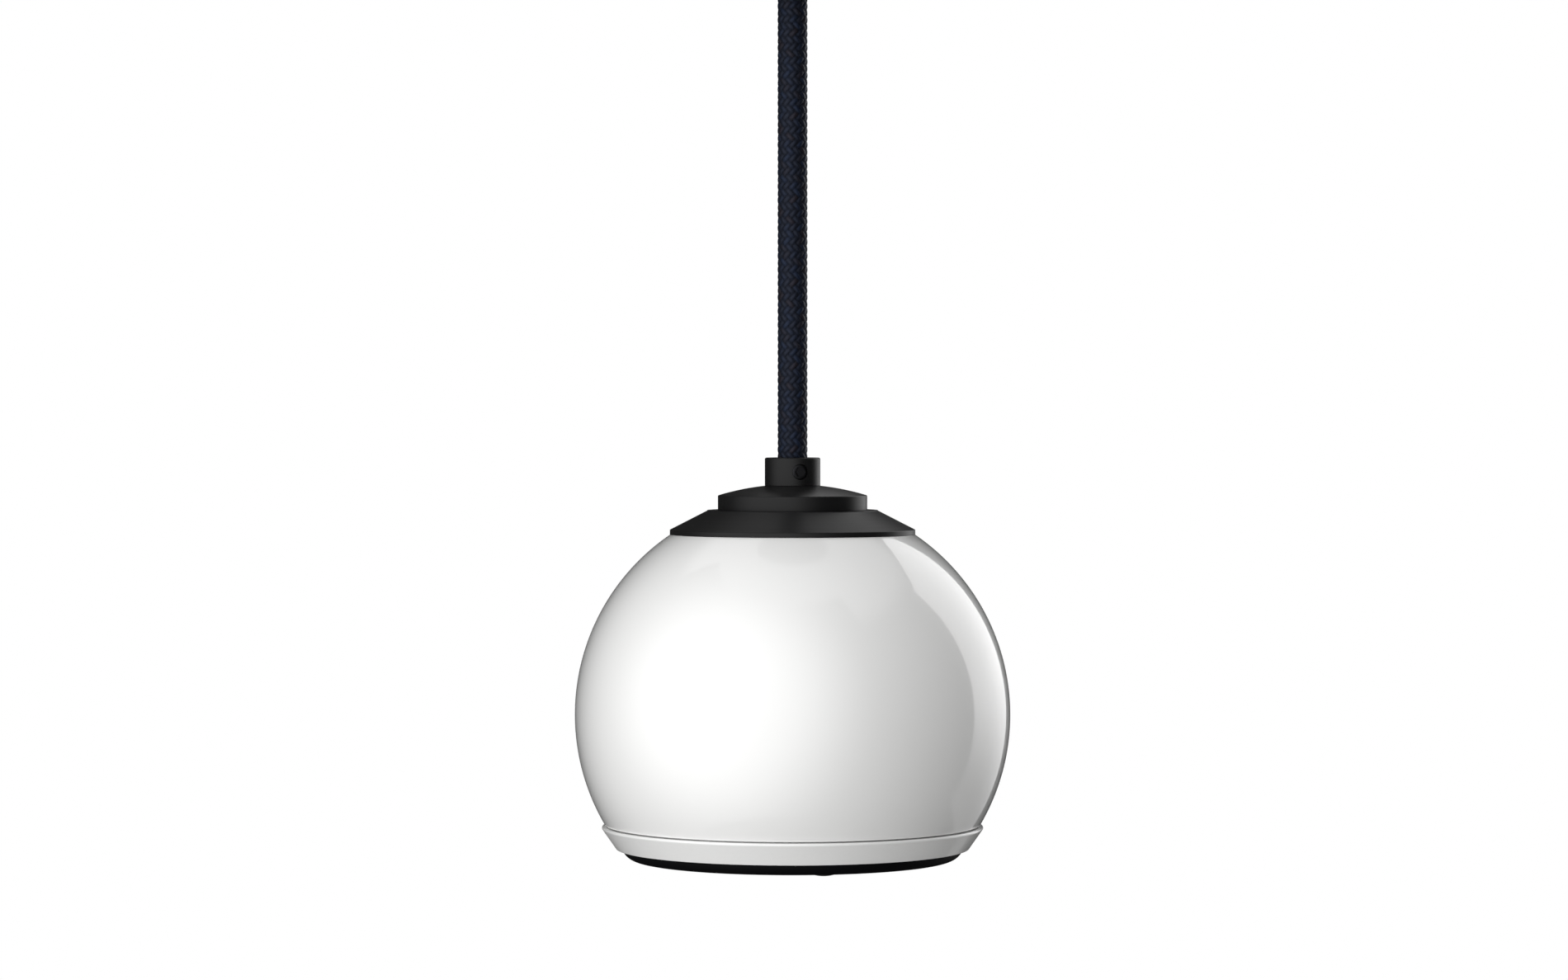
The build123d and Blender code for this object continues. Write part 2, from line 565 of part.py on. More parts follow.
def make_grille_badge():
    crown = BADGE_THICK - BADGE_EDGE
    crown_r = (BADGE_R**2 + crown**2) / (2 * crown)
    face = CenterArc((0, crown_r - BADGE_THICK), crown_r, -90, degrees(asin(BADGE_R / crown_r)))
    edge = Polyline(face @ 1, (BADGE_R, 0), (0, 0), face @ 0)
    return Pos(0, -BADGE_AT_R, GRILLE_FACE_Z) * turned(face, edge)

# Driver

def screw_turns():
    return compass(SCREW_COUNT, 180 / SCREW_COUNT)

def frame_holes(radius, foot_z, top_z):
    hole = Pos(SCREW_PITCH_R, 0, 0) * disc(radius, foot_z, top_z)
    return [turn * hole for turn in screw_turns()]

def make_driver_gasket():
    ring = washer(BAFFLE_HOLE_R, FRAME_R, FRAME_TOP_Z, BAFFLE_Z)
    return ring - frame_holes(SCREW_R + 2 * SLIP_GAP, FRAME_TOP_Z, BAFFLE_Z)

def make_basket():
    ledge_in_z = LEDGE_Z - FRAME_WALL
    basket = turned_section(
        (FRAME_R, FRAME_FRONT_Z), (FRAME_R, FRAME_TOP_Z), (FRAME_NECK_R, FRAME_TOP_Z, 0.8),
        (LEDGE_R, LEDGE_Z, 0.8), (CAN_R, LEDGE_Z), (CAN_R, BACK_Z, 0.8), (BACK_HOLE_R, BACK_Z),
        (BACK_HOLE_R, BACK_Z - FRAME_WALL), (CAN_R - FRAME_WALL, BACK_Z - FRAME_WALL),
        (CAN_R - FRAME_WALL, ledge_in_z), (LEDGE_R - FRAME_WALL * 0.7, ledge_in_z),
        (FRAME_NECK_R - FRAME_WALL * 1.2, FRAME_TOP_Z), (FRAME_MOUTH_R, FRAME_TOP_Z),
        (FRAME_MOUTH_R, FRAME_FRONT_Z))
    foot, top = WINDOW_FOOT_WIDTH / 2, WINDOW_TOP_WIDTH / 2
    window = FilletPolyline(
        (-foot, WINDOW_FOOT_Z), (foot, WINDOW_FOOT_Z), (top, WINDOW_TOP_Z), (-top, WINDOW_TOP_Z),
        radius=WINDOW_CORNER, close=True)
    cutter = extrude(Plane.YZ * make_face(window.edges()), FRAME_R)
    for turn in compass(WINDOW_COUNT, 90):
        basket -= turn * cutter
    return basket - frame_holes(SCREW_R + 2 * SLIP_GAP, FRAME_FRONT_Z, FRAME_TOP_Z)

def make_driver_screws():
    head = disc(SCREW_HEAD_R, FRAME_FRONT_Z - SCREW_HEAD, FRAME_FRONT_Z)
    head = fillet(head.edges().group_by(Axis.Z)[0], SCREW_HEAD / 2)
    for arm in (0, 90):
        cross = Rot(0, 0, arm) * Rectangle(2.6, 0.6)
        head -= Pos(0, 0, FRAME_FRONT_Z - SCREW_HEAD) * extrude(cross, SCREW_HEAD / 2)
    screw = head + disc(SCREW_R, FRAME_FRONT_Z, FRAME_FRONT_Z + SCREW_LENGTH)
    return group(turn * Pos(SCREW_PITCH_R, 0, 0) * screw for turn in screw_turns())

def make_top_plate():
    return washer(GAP_R, TOP_PLATE_R, BACK_Z, PLATE_TOP_Z)

def make_magnet():
    top_z = PLATE_TOP_Z + MAGNET_THICK
    return turned_section(
        (MAGNET_BORE_R, PLATE_TOP_Z), (MAGNET_R, PLATE_TOP_Z, 0.6), (MAGNET_R, top_z, 0.6),
        (MAGNET_BORE_R, top_z))

def make_yoke():
    foot_z = PLATE_TOP_Z + MAGNET_THICK
    back_z = foot_z + YOKE_THICK
    tip_z = BACK_Z - POLE_PAST_PLATE
    return turned_section(
        (0, tip_z), (POLE_R - YOKE_CHAMFER, tip_z), (POLE_R, tip_z + YOKE_CHAMFER), (POLE_R, foot_z),
        (YOKE_R, foot_z), (YOKE_R, back_z - YOKE_CHAMFER), (YOKE_R - YOKE_CHAMFER, back_z),
        (0, back_z))

def make_coil_former():
    return washer(FORMER_R - FORMER_WALL, FORMER_R, FORMER_FOOT_Z, FORMER_TOP_Z)

def make_voice_coil():
    return washer(FORMER_R + GLUE_GAP, FORMER_R + WINDING_THICK, WINDING_FOOT_Z, WINDING_TOP_Z)

def bowed(start, end):
    # shallow arc that swells to the back of the straight line between two points
    middle_r, middle_z = (start[0] + end[0]) / 2, (start[1] + end[1]) / 2
    run, fall = end[0] - start[0], end[1] - start[1]
    span = hypot(run, fall)
    middle = (middle_r - CONE_BOW * fall / span, middle_z + CONE_BOW * run / span)
    return ThreePointArc(start, middle, end)

def make_cone():
    neck_r = FORMER_R + GLUE_GAP
    back_flare = bowed((neck_r, CONE_NECK_Z), (CONE_LIP_FROM_R, CONE_LIP_Z))
    front_flare = bowed((neck_r, CONE_NECK_Z - CONE_THICK * 1.4), (CONE_LIP_FROM_R, CONE_LIP_Z - CONE_THICK))
    lip = Polyline(
        back_flare @ 1, (CONE_LIP_R, CONE_LIP_Z), (CONE_LIP_R, CONE_LIP_Z - CONE_THICK), front_flare @ 1)
    return turned(back_flare, lip, front_flare, Line(front_flare @ 0, back_flare @ 0))

def make_dust_cap():
    # shallow dome on the former's end
    rim_z = FORMER_FOOT_Z - GLUE_GAP
    crown_r = (FORMER_R**2 + CAP_HEIGHT**2) / (2 * CAP_HEIGHT)
    centre_z = rim_z - CAP_HEIGHT + crown_r
    inner_crown_r = crown_r - CAP_WALL
    inner_rim_r = height_at(inner_crown_r, centre_z - rim_z)
    outer = CenterArc((0, centre_z), crown_r, -90, degrees(asin(FORMER_R / crown_r)))
    inner = CenterArc((0, centre_z), inner_crown_r, -90, degrees(asin(inner_rim_r / inner_crown_r)))
    return turned(outer, Line(outer @ 1, inner @ 1), inner, Line(inner @ 0, outer @ 0))

def make_surround():
    # rubber half roll between the frame's front and the cone's lip
    half = SURROUND_THICK / 2
    lip_z = FRAME_FRONT_Z
    roll_z = lip_z - half
    inner_lip_z = CONE_LIP_Z - CONE_THICK
    near, far = ROLL_CENTRE_R - ROLL_R, ROLL_CENTRE_R + ROLL_R
    inside_roll = CenterArc((ROLL_CENTRE_R, roll_z), ROLL_R - half, 0, -180)
    outside_roll = CenterArc((ROLL_CENTRE_R, roll_z), ROLL_R + half, 0, -180)
    outer_top = Polyline((SURROUND_R, lip_z), (far - half, lip_z), inside_roll @ 0)
    inner_lip = Polyline(
        inside_roll @ 1, (near + half, inner_lip_z), (SURROUND_LIP_R, inner_lip_z),
        (SURROUND_LIP_R, inner_lip_z - SURROUND_THICK), (near - half, inner_lip_z - SURROUND_THICK),
        outside_roll @ 1)
    outer_foot = Polyline(
        outside_roll @ 0, (far + half, lip_z - SURROUND_THICK), (SURROUND_R, lip_z - SURROUND_THICK),
        (SURROUND_R, lip_z))
    return turned(outer_top, inside_roll, inner_lip, outside_roll, outer_foot)

def make_spider():
    # corrugated cloth disc that falls from the ledge to the coil former
    top_z = LEDGE_Z - FRAME_WALL
    hub_z = top_z - SPIDER_FALL
    steps = 2 * max(1, round((SPIDER_FROM_R - SPIDER_HUB_R) / SPIDER_PITCH))
    ridge = [(SPIDER_R, top_z, 0), (SPIDER_FROM_R, top_z, 0.5)]
    for step in range(1, steps):
        share = step / steps
        wave = SPIDER_WAVE if step % 2 == 0 else -SPIDER_WAVE
        r = SPIDER_FROM_R + share * (SPIDER_HUB_R - SPIDER_FROM_R)
        ridge.append((r, top_z - share * SPIDER_FALL + wave, 0.3))
    ridge += [(SPIDER_HUB_R, hub_z, 0.3), (FORMER_R + GLUE_GAP, hub_z, 0)]
    under = [(r, z - SPIDER_THICK, bend) for r, z, bend in reversed(ridge)]
    return turned_section(*ridge, *under)

def make_terminal_strip():
    plate = Pos(0, STRIP_FROM_Y + STRIP_LENGTH / 2, LEDGE_Z) * extrude(
        RectangleRounded(STRIP_WIDTH, STRIP_LENGTH, 1.5), STRIP_THICK)
    for side in (-1, 1):
        eye = Pos(side * TAG_X, TAG_Y, LEDGE_Z)
        plate -= eye * extrude(Circle(TINSEL_R + SLIP_GAP), STRIP_THICK)
    return plate

def make_solder_tags():
    top_z = LEDGE_Z + STRIP_THICK
    tag = extrude(SlotOverall(TAG_LENGTH, TAG_WIDTH, rotation=90), TAG_THICK)
    tag -= extrude(Circle(TINSEL_R + SLIP_GAP), TAG_THICK)
    return group(Pos(side * TAG_X, TAG_Y, top_z) * tag for side in (-1, 1))

def make_tinsel(side):
    # limp braid from its tag, through a window of the frame, to the back of the cone
    x = side * TAG_X
    start_z = LEDGE_Z + STRIP_THICK + TAG_THICK
    end_z = cone_back_height(TINSEL_END_Y) + GLUE_GAP
    route = [
        Vector(x, TAG_Y, start_z),
        Vector(x, TAG_Y, LEDGE_Z - 5.5),
        Vector(x, TINSEL_END_Y + 3.2, end_z + 3.4),
        Vector(x, TINSEL_END_Y, end_z)]
    return lead(route, TINSEL_R)

def cone_back_height(r):
    # height of the cone's back at the distance r from the axis, on its straight line
    share = (r - FORMER_R) / (CONE_LIP_FROM_R - FORMER_R)
    return CONE_NECK_Z + share * (CONE_LIP_Z - CONE_NECK_Z) + CONE_BOW

def make_lead(side):
    # from the jacket's end, over the magnet and down to its tag
    tag_top_z = LEDGE_Z + STRIP_THICK + TAG_THICK
    yoke_top_z = PLATE_TOP_Z + MAGNET_THICK + YOKE_THICK
    end_y = TAG_Y + CORE_R + SLIP_GAP
    route = [
        Vector(side * CORE_PITCH / 2, 0, JACKET_FOOT_Z),
        Vector(side * CORE_PITCH / 2, 0, JACKET_FOOT_Z - 6),
        Vector(side * CORE_PITCH / 2, YOKE_R - 4, yoke_top_z + 7),
        Vector(side * TAG_X, MAGNET_R + 5.5, PLATE_TOP_Z + MAGNET_THICK),
        Vector(side * TAG_X, end_y, tag_top_z + 5),
        Vector(side * TAG_X, end_y, tag_top_z)]
    return lead(route, CORE_R)

# Everything in its place. Pieces of the speaker are made about the ball's centre.
nodes = {
    "ceiling_bracket": make_ceiling_bracket(),
    "ceiling_cup": make_ceiling_cup(),
    "cup_screws": make_cup_screws(),
    "ceiling_grip": CEILING_GRIP * cord_grip(CEILING_STEM),
    "grip_screw": CEILING_GRIP * set_screw(),
    "grip_locknut": Pos(0, 0, -CUP_HEIGHT + CUP_WALL) * hex_nut(),
    "terminal_block": make_terminal_block(),
    "terminal_screws": make_terminal_screws(),
    "block_screw": make_block_screw(),
    "top_core_positive": make_top_core(1),
    "top_core_negative": make_top_core(-1),
    "hanging_cable": make_hanging_cable(),
    "cable_collar": BALL * Pos(0, 0, DOME_TOP_Z) * cord_grip(DOME_TOP_Z - STEM_FOOT_Z),
    "collar_screw": BALL * Pos(0, 0, DOME_TOP_Z) * set_screw(),
    "cap_dome": BALL * make_cap_dome(),
    "cap_flange": BALL * make_cap_flange(),
    "top_gasket": BALL * make_top_gasket(),
    "inner_washer": BALL * make_inner_washer(),
    "inner_nut": BALL * Pos(0, 0, STEM_FOOT_Z + STEM_BELOW_NUT) * hex_nut(),
    "cable_stop": BALL * make_cable_stop(),
    "shell": BALL * make_shell(),
    "damping_felt": BALL * make_damping_felt(),
    "front_ring": BALL * make_front_ring(),
    "grille": BALL * make_grille(),
    "grille_badge": BALL * make_grille_badge(),
    "driver_gasket": BALL * make_driver_gasket(),
    "basket": BALL * make_basket(),
    "driver_screws": BALL * make_driver_screws(),
    "top_plate": BALL * make_top_plate(),
    "magnet": BALL * make_magnet(),
    "yoke": BALL * make_yoke(),
    "spider": BALL * make_spider(),
    "surround": BALL * make_surround(),
    "coil_former": BALL * make_coil_former(),
    "voice_coil": BALL * make_voice_coil(),
    "cone": BALL * make_cone(),
    "dust_cap": BALL * make_dust_cap(),
    "terminal_strip": BALL * make_terminal_strip(),
    "solder_tags": BALL * make_solder_tags(),
    "tinsel_positive": BALL * make_tinsel(1),
    "tinsel_negative": BALL * make_tinsel(-1),
    "lead_positive": BALL * make_lead(1),
    "lead_negative": BALL * make_lead(-1),
}

os.makedirs("parts", exist_ok=True)
for name, piece in nodes.items():
    export_step(piece, f"parts/{name}.step")
print(len(nodes), "nodes, ball centre at", round(BALL_Z, 2))
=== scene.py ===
import json
from math import asin, atan2, cos, degrees, hypot, pi, radians, sin, sqrt, tan

import bpy
from mathutils import Matrix, Vector

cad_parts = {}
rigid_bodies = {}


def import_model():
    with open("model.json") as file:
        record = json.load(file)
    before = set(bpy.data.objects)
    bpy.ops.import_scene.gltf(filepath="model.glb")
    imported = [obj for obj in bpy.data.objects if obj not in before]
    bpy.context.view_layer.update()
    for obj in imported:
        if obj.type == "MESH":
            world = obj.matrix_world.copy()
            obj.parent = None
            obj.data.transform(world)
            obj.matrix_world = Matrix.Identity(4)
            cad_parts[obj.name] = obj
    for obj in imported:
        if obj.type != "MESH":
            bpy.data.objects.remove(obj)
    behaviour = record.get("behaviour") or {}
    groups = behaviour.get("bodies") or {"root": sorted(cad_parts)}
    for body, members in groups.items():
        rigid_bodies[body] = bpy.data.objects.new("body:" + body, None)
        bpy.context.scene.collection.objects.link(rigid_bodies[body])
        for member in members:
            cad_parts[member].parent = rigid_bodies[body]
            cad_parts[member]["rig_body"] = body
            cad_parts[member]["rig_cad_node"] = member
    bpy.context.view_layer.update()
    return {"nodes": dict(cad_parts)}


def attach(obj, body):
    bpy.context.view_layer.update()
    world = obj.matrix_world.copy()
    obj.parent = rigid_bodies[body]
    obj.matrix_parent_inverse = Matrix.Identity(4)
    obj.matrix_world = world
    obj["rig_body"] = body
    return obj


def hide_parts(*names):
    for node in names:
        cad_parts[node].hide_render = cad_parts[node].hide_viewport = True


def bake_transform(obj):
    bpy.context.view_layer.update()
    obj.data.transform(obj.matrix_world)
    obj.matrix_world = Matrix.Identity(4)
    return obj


# Pendant speaker: a gloss white ball under a black three-tier cap, on a braided cable.
# Everything in Blender is in metres, with +Z up and the ceiling at 0. The pieces' own sizes are in
# millimetres. A profile's points are (distance from the axis, height, rounding), with heights from
# the ball's centre. The grips' heights are from their foot, and the ceiling cup's from the ceiling.

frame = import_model()
mm = 0.001
ballHeight = -205.8
cupFloor = -25.0    # underside of the ceiling cup
nodes = frame["nodes"]
print("frame loaded,", len(nodes), "CAD nodes")

# Helpers for colours and nodes

def hexColour(code):
    # sRGB hex to the linear colour that Blender's sockets take
    channels = [int(code[i:i + 2], 16) / 255 for i in (1, 3, 5)]
    linear = [c / 12.92 if c <= 0.04045 else ((c + 0.055) / 1.055) ** 2.4 for c in channels]
    return (*linear, 1)

def setInputs(node, inputs):
    # a socket's input is either another node's output or a plain value
    for socket, value in inputs.items():
        if isinstance(value, bpy.types.NodeSocket):
            node.id_data.links.new(value, node.inputs[socket])
        else:
            node.inputs[socket].default_value = value

def addNode(tree, kind, inputs, **settings):
    node = tree.nodes.new("ShaderNode" + kind)
    for name, value in settings.items():
        setattr(node, name, value)
    setInputs(node, inputs)
    return node

def newMaterial(name, inputs):
    # a material with its Principled shader's own numbers set, and where its points lie on the object
    material = bpy.data.materials.new(name)
    material.use_nodes = True
    tree = material.node_tree
    shader = tree.nodes["Principled BSDF"]
    setInputs(shader, inputs)
    return material, tree, shader, addNode(tree, "TexCoord", {}).outputs["Object"]

# Camera: the photograph's own view, fitted to the ball and to the ellipses of the cap and ring

camera = {
    "position": (-0.2200, -1.0349, -0.1327),
    "aim": (-0.00196, 0.00042, -0.1532),
    "lens": 103.7,
    "sensor": 36,
}

def addCamera(view):
    bpy.ops.object.camera_add(location=view["position"])
    eye = bpy.context.object
    eye.name = "photoCamera"
    towards = Vector(view["aim"]) - Vector(view["position"])
    eye.rotation_euler = towards.to_track_quat("-Z", "Y").to_euler()
    eye.data.lens = view["lens"]
    eye.data.sensor_width = view["sensor"]
    bpy.context.scene.camera = eye

addCamera(camera)
print("camera in place")

# Cable: a 7 mm round braid, held taut between the two grips

cable = {
    # in metres. The route is the CAD tube's own, with a point six diameters from each grip.
    "route": [(0, 0, -0.1748), (0, 0, -0.1036), (0, 0, -0.0736), (0, 0, -0.0135)],
    "exit": (0, 0, -0.1456),
    "length": 0.1613,
    "diameter": 0.007,
    # in millimetres, shares and counts
    "yarns": 12,            # each way round: a 24-carrier braid
    "pick": 1.62,           # along the cable from one yarn to the next
    "crest": 3.52,          # from the middle to the top of a yarn
    "relief": 0.33,         # from the crest down to the gaps
    "dip": 0.35,            # share of its height that a yarn keeps where it goes under
    "blunt": 0.6,           # below 1, so that a yarn stays high until close to its ends
    "around": 120,          # points round the cable
    "rowStep": 0.22,        # from one row of points to the next
    "pathStep": 12,         # rows from one point of the cord's path to the next
}

def routeLine(points):
    # the route as a smooth curve, turned into close points
    curve = bpy.data.curves.new("cableRoute", "CURVE")
    curve.dimensions = "3D"
    curve.resolution_u = 24
    spline = curve.splines.new("NURBS")
    spline.points.add(len(points) - 1)
    for target, point in zip(spline.points, points):
        target.co = (*point, 1)
    spline.order_u = 3
    spline.use_endpoint_u = True
    line = bpy.data.objects.new("cableRoute", curve)
    bpy.context.collection.objects.link(line)
    drawn = bpy.data.meshes.new_from_object(line)
    followed = [vertex.co.copy() for vertex in drawn.vertices]
    bpy.data.objects.remove(line)
    bpy.data.meshes.remove(drawn)
    return followed

def alongLine(points, step):
    # the same line in even steps, with the distance run so far
    rows, run = [(points[0], 0.0)], 0.0
    for start, end in zip(points, points[1:]):
        span = (end - start).length
        count = max(1, round(span / step))
        for part in range(1, count + 1):
            rows.append((start.lerp(end, part / count), run + span * part / count))
        run += span
    return rows

def braidAt(turn, height, settings):
    # how far the surface stands out, from 0 to 1, which family is on top, and that yarn's number
    u = settings["yarns"] * turn + height / settings["pick"]
    v = settings["yarns"] * turn - height / settings["pick"]
    yarnU, yarnV = int(u // 1), int(v // 1)
    partU, partV = u - yarnU, v - yarnV
    cross = (yarnU - yarnV) % 4    # a twill: each yarn goes over two, then under two
    if cross < 2:
        across, along, family, yarn = partU, (1 - cross + partV) / 2, 0.0, yarnU
    else:
        across, along, family, yarn = partV, (cross - 2 + partU) / 2, 1.0, yarnV
    crown = sqrt(max(0.0, 1 - (2 * across - 1) ** 2))
    rise = sin(pi * along) ** settings["blunt"]
    relief = crown * (settings["dip"] + (1 - settings["dip"]) * rise)
    return relief, family, yarn % settings["yarns"]

def makeCable(settings):
    line = routeLine(settings["route"])
    rows = alongLine(line, settings["rowStep"] * mm)
    around, yarns = settings["around"], settings["yarns"]
    points, faces, families, tints, crests, uvs = [], [], [], [], [], []
    for centre, run in rows:
        for spoke in range(around):
            turn = spoke / around
            relief, family, yarn = braidAt(turn, run / mm, settings)
            radius = (settings["crest"] - settings["relief"] * (1 - relief)) * mm
            outwards = Vector((cos(2 * pi * turn), sin(2 * pi * turn), 0))
            points.append(centre + outwards * radius)
            crests.append(relief)
            families.append(family)
            # tints are dealt out so that neighbours differ and no order shows
            tints.append((yarn * 7 + int(family) * 5) % yarns / (yarns - 1))
    for row in range(len(rows) - 1):
        for spoke in range(around):
            nextSpoke = (spoke + 1) % around
            a, b = row * around + spoke, row * around + nextSpoke
            faces.append((a, b, b + around, a + around))
            u0, u1 = spoke / around, (spoke + 1) / around
            v0, v1 = rows[row][1] / mm, rows[row + 1][1] / mm
            uvs += [(u0, v0), (u1, v0), (u1, v1), (u0, v1)]
    faces.append(tuple(reversed(range(around))))
    faces.append(tuple(range((len(rows) - 1) * around, len(rows) * around)))
    uvs += [(0, 0)] * (2 * around)
    mesh = bpy.data.meshes.new("braidedCable")
    mesh.from_pydata(points, [], faces)
    for name, values in {"family": families, "tint": tints, "crest": crests}.items():
        mesh.attributes.new(name, "FLOAT", "POINT").data.foreach_set("value", values)
    layer = mesh.uv_layers.new(name="braid")
    layer.data.foreach_set("uv", [value for uv in uvs for value in uv])
    mesh.polygons.foreach_set("use_smooth", [True] * len(mesh.polygons))
    piece = bpy.data.objects.new("braidedCable", mesh)
    bpy.context.collection.objects.link(piece)
    return piece, [row[0] for row in rows]

def rayonBraid():
    # rayon braid, blue-black with a few bluish and brownish yarns: a dull shine along each yarn
    material, tree, shader = newMaterial("rayonBraid", {
        "Specular IOR Level": 0.3, "Specular Tint": hexColour("#bfcbec")})[:3]
    family, tint, crest = [addNode(tree, "Attribute", {}, attribute_name=name).outputs["Fac"]
                           for name in ("family", "tint", "crest")]
    # the braid's own map: u in turns, of 22 mm each, and v in millimetres
    braidMap = addNode(tree, "UVMap", {}, uv_map="braid").outputs[0]
    flat = addNode(tree, "Mapping", {"Vector": braidMap, "Scale": (22.0, 1.0, 1.0)}).outputs[0]
    filaments = []
    for lean in (radians(48), radians(-48)):
        # filaments about 0.12 mm apart, along each yarn
        turned = addNode(tree, "Mapping", {"Vector": flat, "Rotation": (0, 0, lean)}).outputs[0]
        drawn = addNode(tree, "Mapping", {"Vector": turned, "Scale": (0.35, 8.0, 1.0)}).outputs[0]
        filaments.append(addNode(tree, "TexNoise", {
            "Vector": drawn, "Scale": 1.0, "Detail": 3.0, "Roughness": 0.6}).outputs[0])
    hair = addNode(tree, "Mix", {0: family, 2: filaments[0], 3: filaments[1]},
                   data_type="FLOAT").outputs[0]
    blueYarns = addNode(tree, "MapRange", {"Value": tint, "From Min": 0.55}).outputs[0]
    brownYarns = addNode(tree, "MapRange", {
        "Value": tint, "From Max": 0.18, "To Min": 1.0, "To Max": 0.0}).outputs[0]
    cool = addNode(tree, "Mix", {0: blueYarns, 6: hexColour("#11141d"), 7: hexColour("#111929")},
                   data_type="RGBA")
    warm = addNode(tree, "Mix", {0: brownYarns, 6: cool.outputs[2], 7: hexColour("#1a1518")},
                   data_type="RGBA")
    depth = addNode(tree, "MapRange", {
        "Value": hair, "From Min": 0.3, "From Max": 0.7, "To Min": 0.45, "To Max": 1.5}).outputs[0]
    streaked = addNode(tree, "Mix", {0: 0.7, 6: warm.outputs[2], 7: depth},
                       data_type="RGBA", blend_type="MULTIPLY")
    # the yarns shine on their crests and are dull in the gaps, and their colour is darkened in the gaps
    # between them as painted shade
    dull = addNode(tree, "MapRange", {
        "Value": crest, "From Min": 0.3, "From Max": 0.95, "To Min": 0.8, "To Max": 0.42}).outputs[0]
    # painted shade: the colour falls to a fifth of itself deep in the gaps between yarns
    paintedGapShade = addNode(tree, "MapRange", {
        "Value": crest, "From Min": 0.15, "From Max": 0.85, "To Min": 0.2}).outputs[0]
    # the painted gap shade is multiplied into the yarns' colour
    shaded = addNode(tree, "Mix", {0: 1.0, 6: streaked.outputs[2], 7: paintedGapShade},
                     data_type="RGBA", blend_type="MULTIPLY")
    bump = addNode(tree, "Bump", {"Height": hair, "Distance": 0.06 * mm, "Strength": 0.9})
    setInputs(shader, {"Base Color": shaded.outputs[2], "Roughness": dull, "Normal": bump.outputs[0]})
    return material

braidedCable, cablePath = makeCable(cable)
braidedCable.data.materials.append(rayonBraid())
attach(braidedCable, "housing")
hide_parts("hanging_cable")
print("cable braided")

# Finishes

def lacqueredShell():
    # spun steel ball, sprayed gloss white and polished: it mirrors the lights at its edges
    material, tree, shader, point = newMaterial("glossWhiteLacquer", {
        "Roughness": 0.32, "IOR": 1.5, "Coat Weight": 1.0, "Coat Roughness": 0.05, "Coat IOR": 1.5})
    cloud = addNode(tree, "TexNoise", {"Vector": point, "Scale": 9.0, "Detail": 2.0}).outputs[0]
    tone = addNode(tree, "Mix", {0: cloud, 6: hexColour("#eeeeed"), 7: hexColour("#f0f0ef")},
                   data_type="RGBA")
    # orange peel with waves of about 1.8 mm
    peel = addNode(tree, "TexNoise", {"Vector": point, "Scale": 560.0, "Detail": 1.0}).outputs[0]
    bump = addNode(tree, "Bump", {"Height": peel, "Distance": 0.012 * mm, "Strength": 0.5})
    setInputs(shader, {"Base Color": tone.outputs[2], "Normal": bump.outputs[0]})
    return material

def mouldedWhite():
    # the ring's white plastic, moulded glossy: softer than the ball, with a grain of about 0.7 mm
    material, tree, shader, point = newMaterial("glossWhiteMoulding", {
        "IOR": 1.53, "Coat Weight": 0.6, "Coat Roughness": 0.12})
    grain = addNode(tree, "TexNoise", {"Vector": point, "Scale": 1500.0, "Detail": 2.0}).outputs[0]
    tone = addNode(tree, "Mix", {0: grain, 6: hexColour("#ebebea"), 7: hexColour("#efefee")},
                   data_type="RGBA")
    polish = addNode(tree, "MapRange", {"Value": grain, "To Min": 0.26, "To Max": 0.36}).outputs[0]
    bump = addNode(tree, "Bump", {"Height": grain, "Distance": 0.008 * mm, "Strength": 0.5})
    setInputs(shader, {"Base Color": tone.outputs[2], "Roughness": polish, "Normal": bump.outputs[0]})
    return material

def turnedBlack():
    # turned aluminium under satin black paint: fine rings from the lathe show in the shine
    material, tree, shader, point = newMaterial("satinBlackTurned", {
        "IOR": 1.5, "Specular IOR Level": 0.185})
    apart = addNode(tree, "SeparateXYZ", {0: point})
    flat = addNode(tree, "CombineXYZ", {0: apart.outputs[0], 1: apart.outputs[1]})
    radius = addNode(tree, "VectorMath", {0: flat.outputs[0]}, operation="LENGTH").outputs["Value"]
    along = addNode(tree, "Math", {0: radius, 1: apart.outputs[2]}, operation="ADD").outputs[0]
    # tool marks about 0.3 mm apart, and a fine speckle in the paint
    marks = addNode(tree, "TexNoise", {"W": along, "Scale": 3300.0, "Detail": 2.0},
                    noise_dimensions="1D").outputs[0]
    speckle = addNode(tree, "TexNoise", {"Vector": point, "Scale": 2600.0, "Detail": 3.0}).outputs[0]
    both = addNode(tree, "Mix", {0: 0.5, 2: marks, 3: speckle}, data_type="FLOAT").outputs[0]
    tone = addNode(tree, "Mix", {0: speckle, 6: hexColour("#141415"), 7: hexColour("#191919")},
                   data_type="RGBA")
    polish = addNode(tree, "MapRange", {"Value": both, "To Min": 0.31, "To Max": 0.43}).outputs[0]
    bump = addNode(tree, "Bump", {"Height": both, "Distance": 0.01 * mm, "Strength": 0.6})
    setInputs(shader, {"Base Color": tone.outputs[2], "Roughness": polish, "Normal": bump.outputs[0]})
    return material

def coatedSteel(name, colour, polish, specular=0.3):
    # powder-coated pressed steel: matt, with a pebbled skin of about 0.4 mm
    material, tree, shader, point = newMaterial(name, {
        "Base Color": hexColour(colour), "Specular IOR Level": specular})
    pebble = addNode(tree, "TexNoise", {"Vector": point, "Scale": 2500.0, "Detail": 2.0}).outputs[0]
    skin = addNode(tree, "MapRange", {
        "Value": pebble, "To Min": polish - 0.06, "To Max": polish + 0.08}).outputs[0]
    bump = addNode(tree, "Bump", {"Height": pebble, "Distance": 0.03 * mm, "Strength": 0.7})
    setInputs(shader, {"Roughness": skin, "Normal": bump.outputs[0]})
    return material

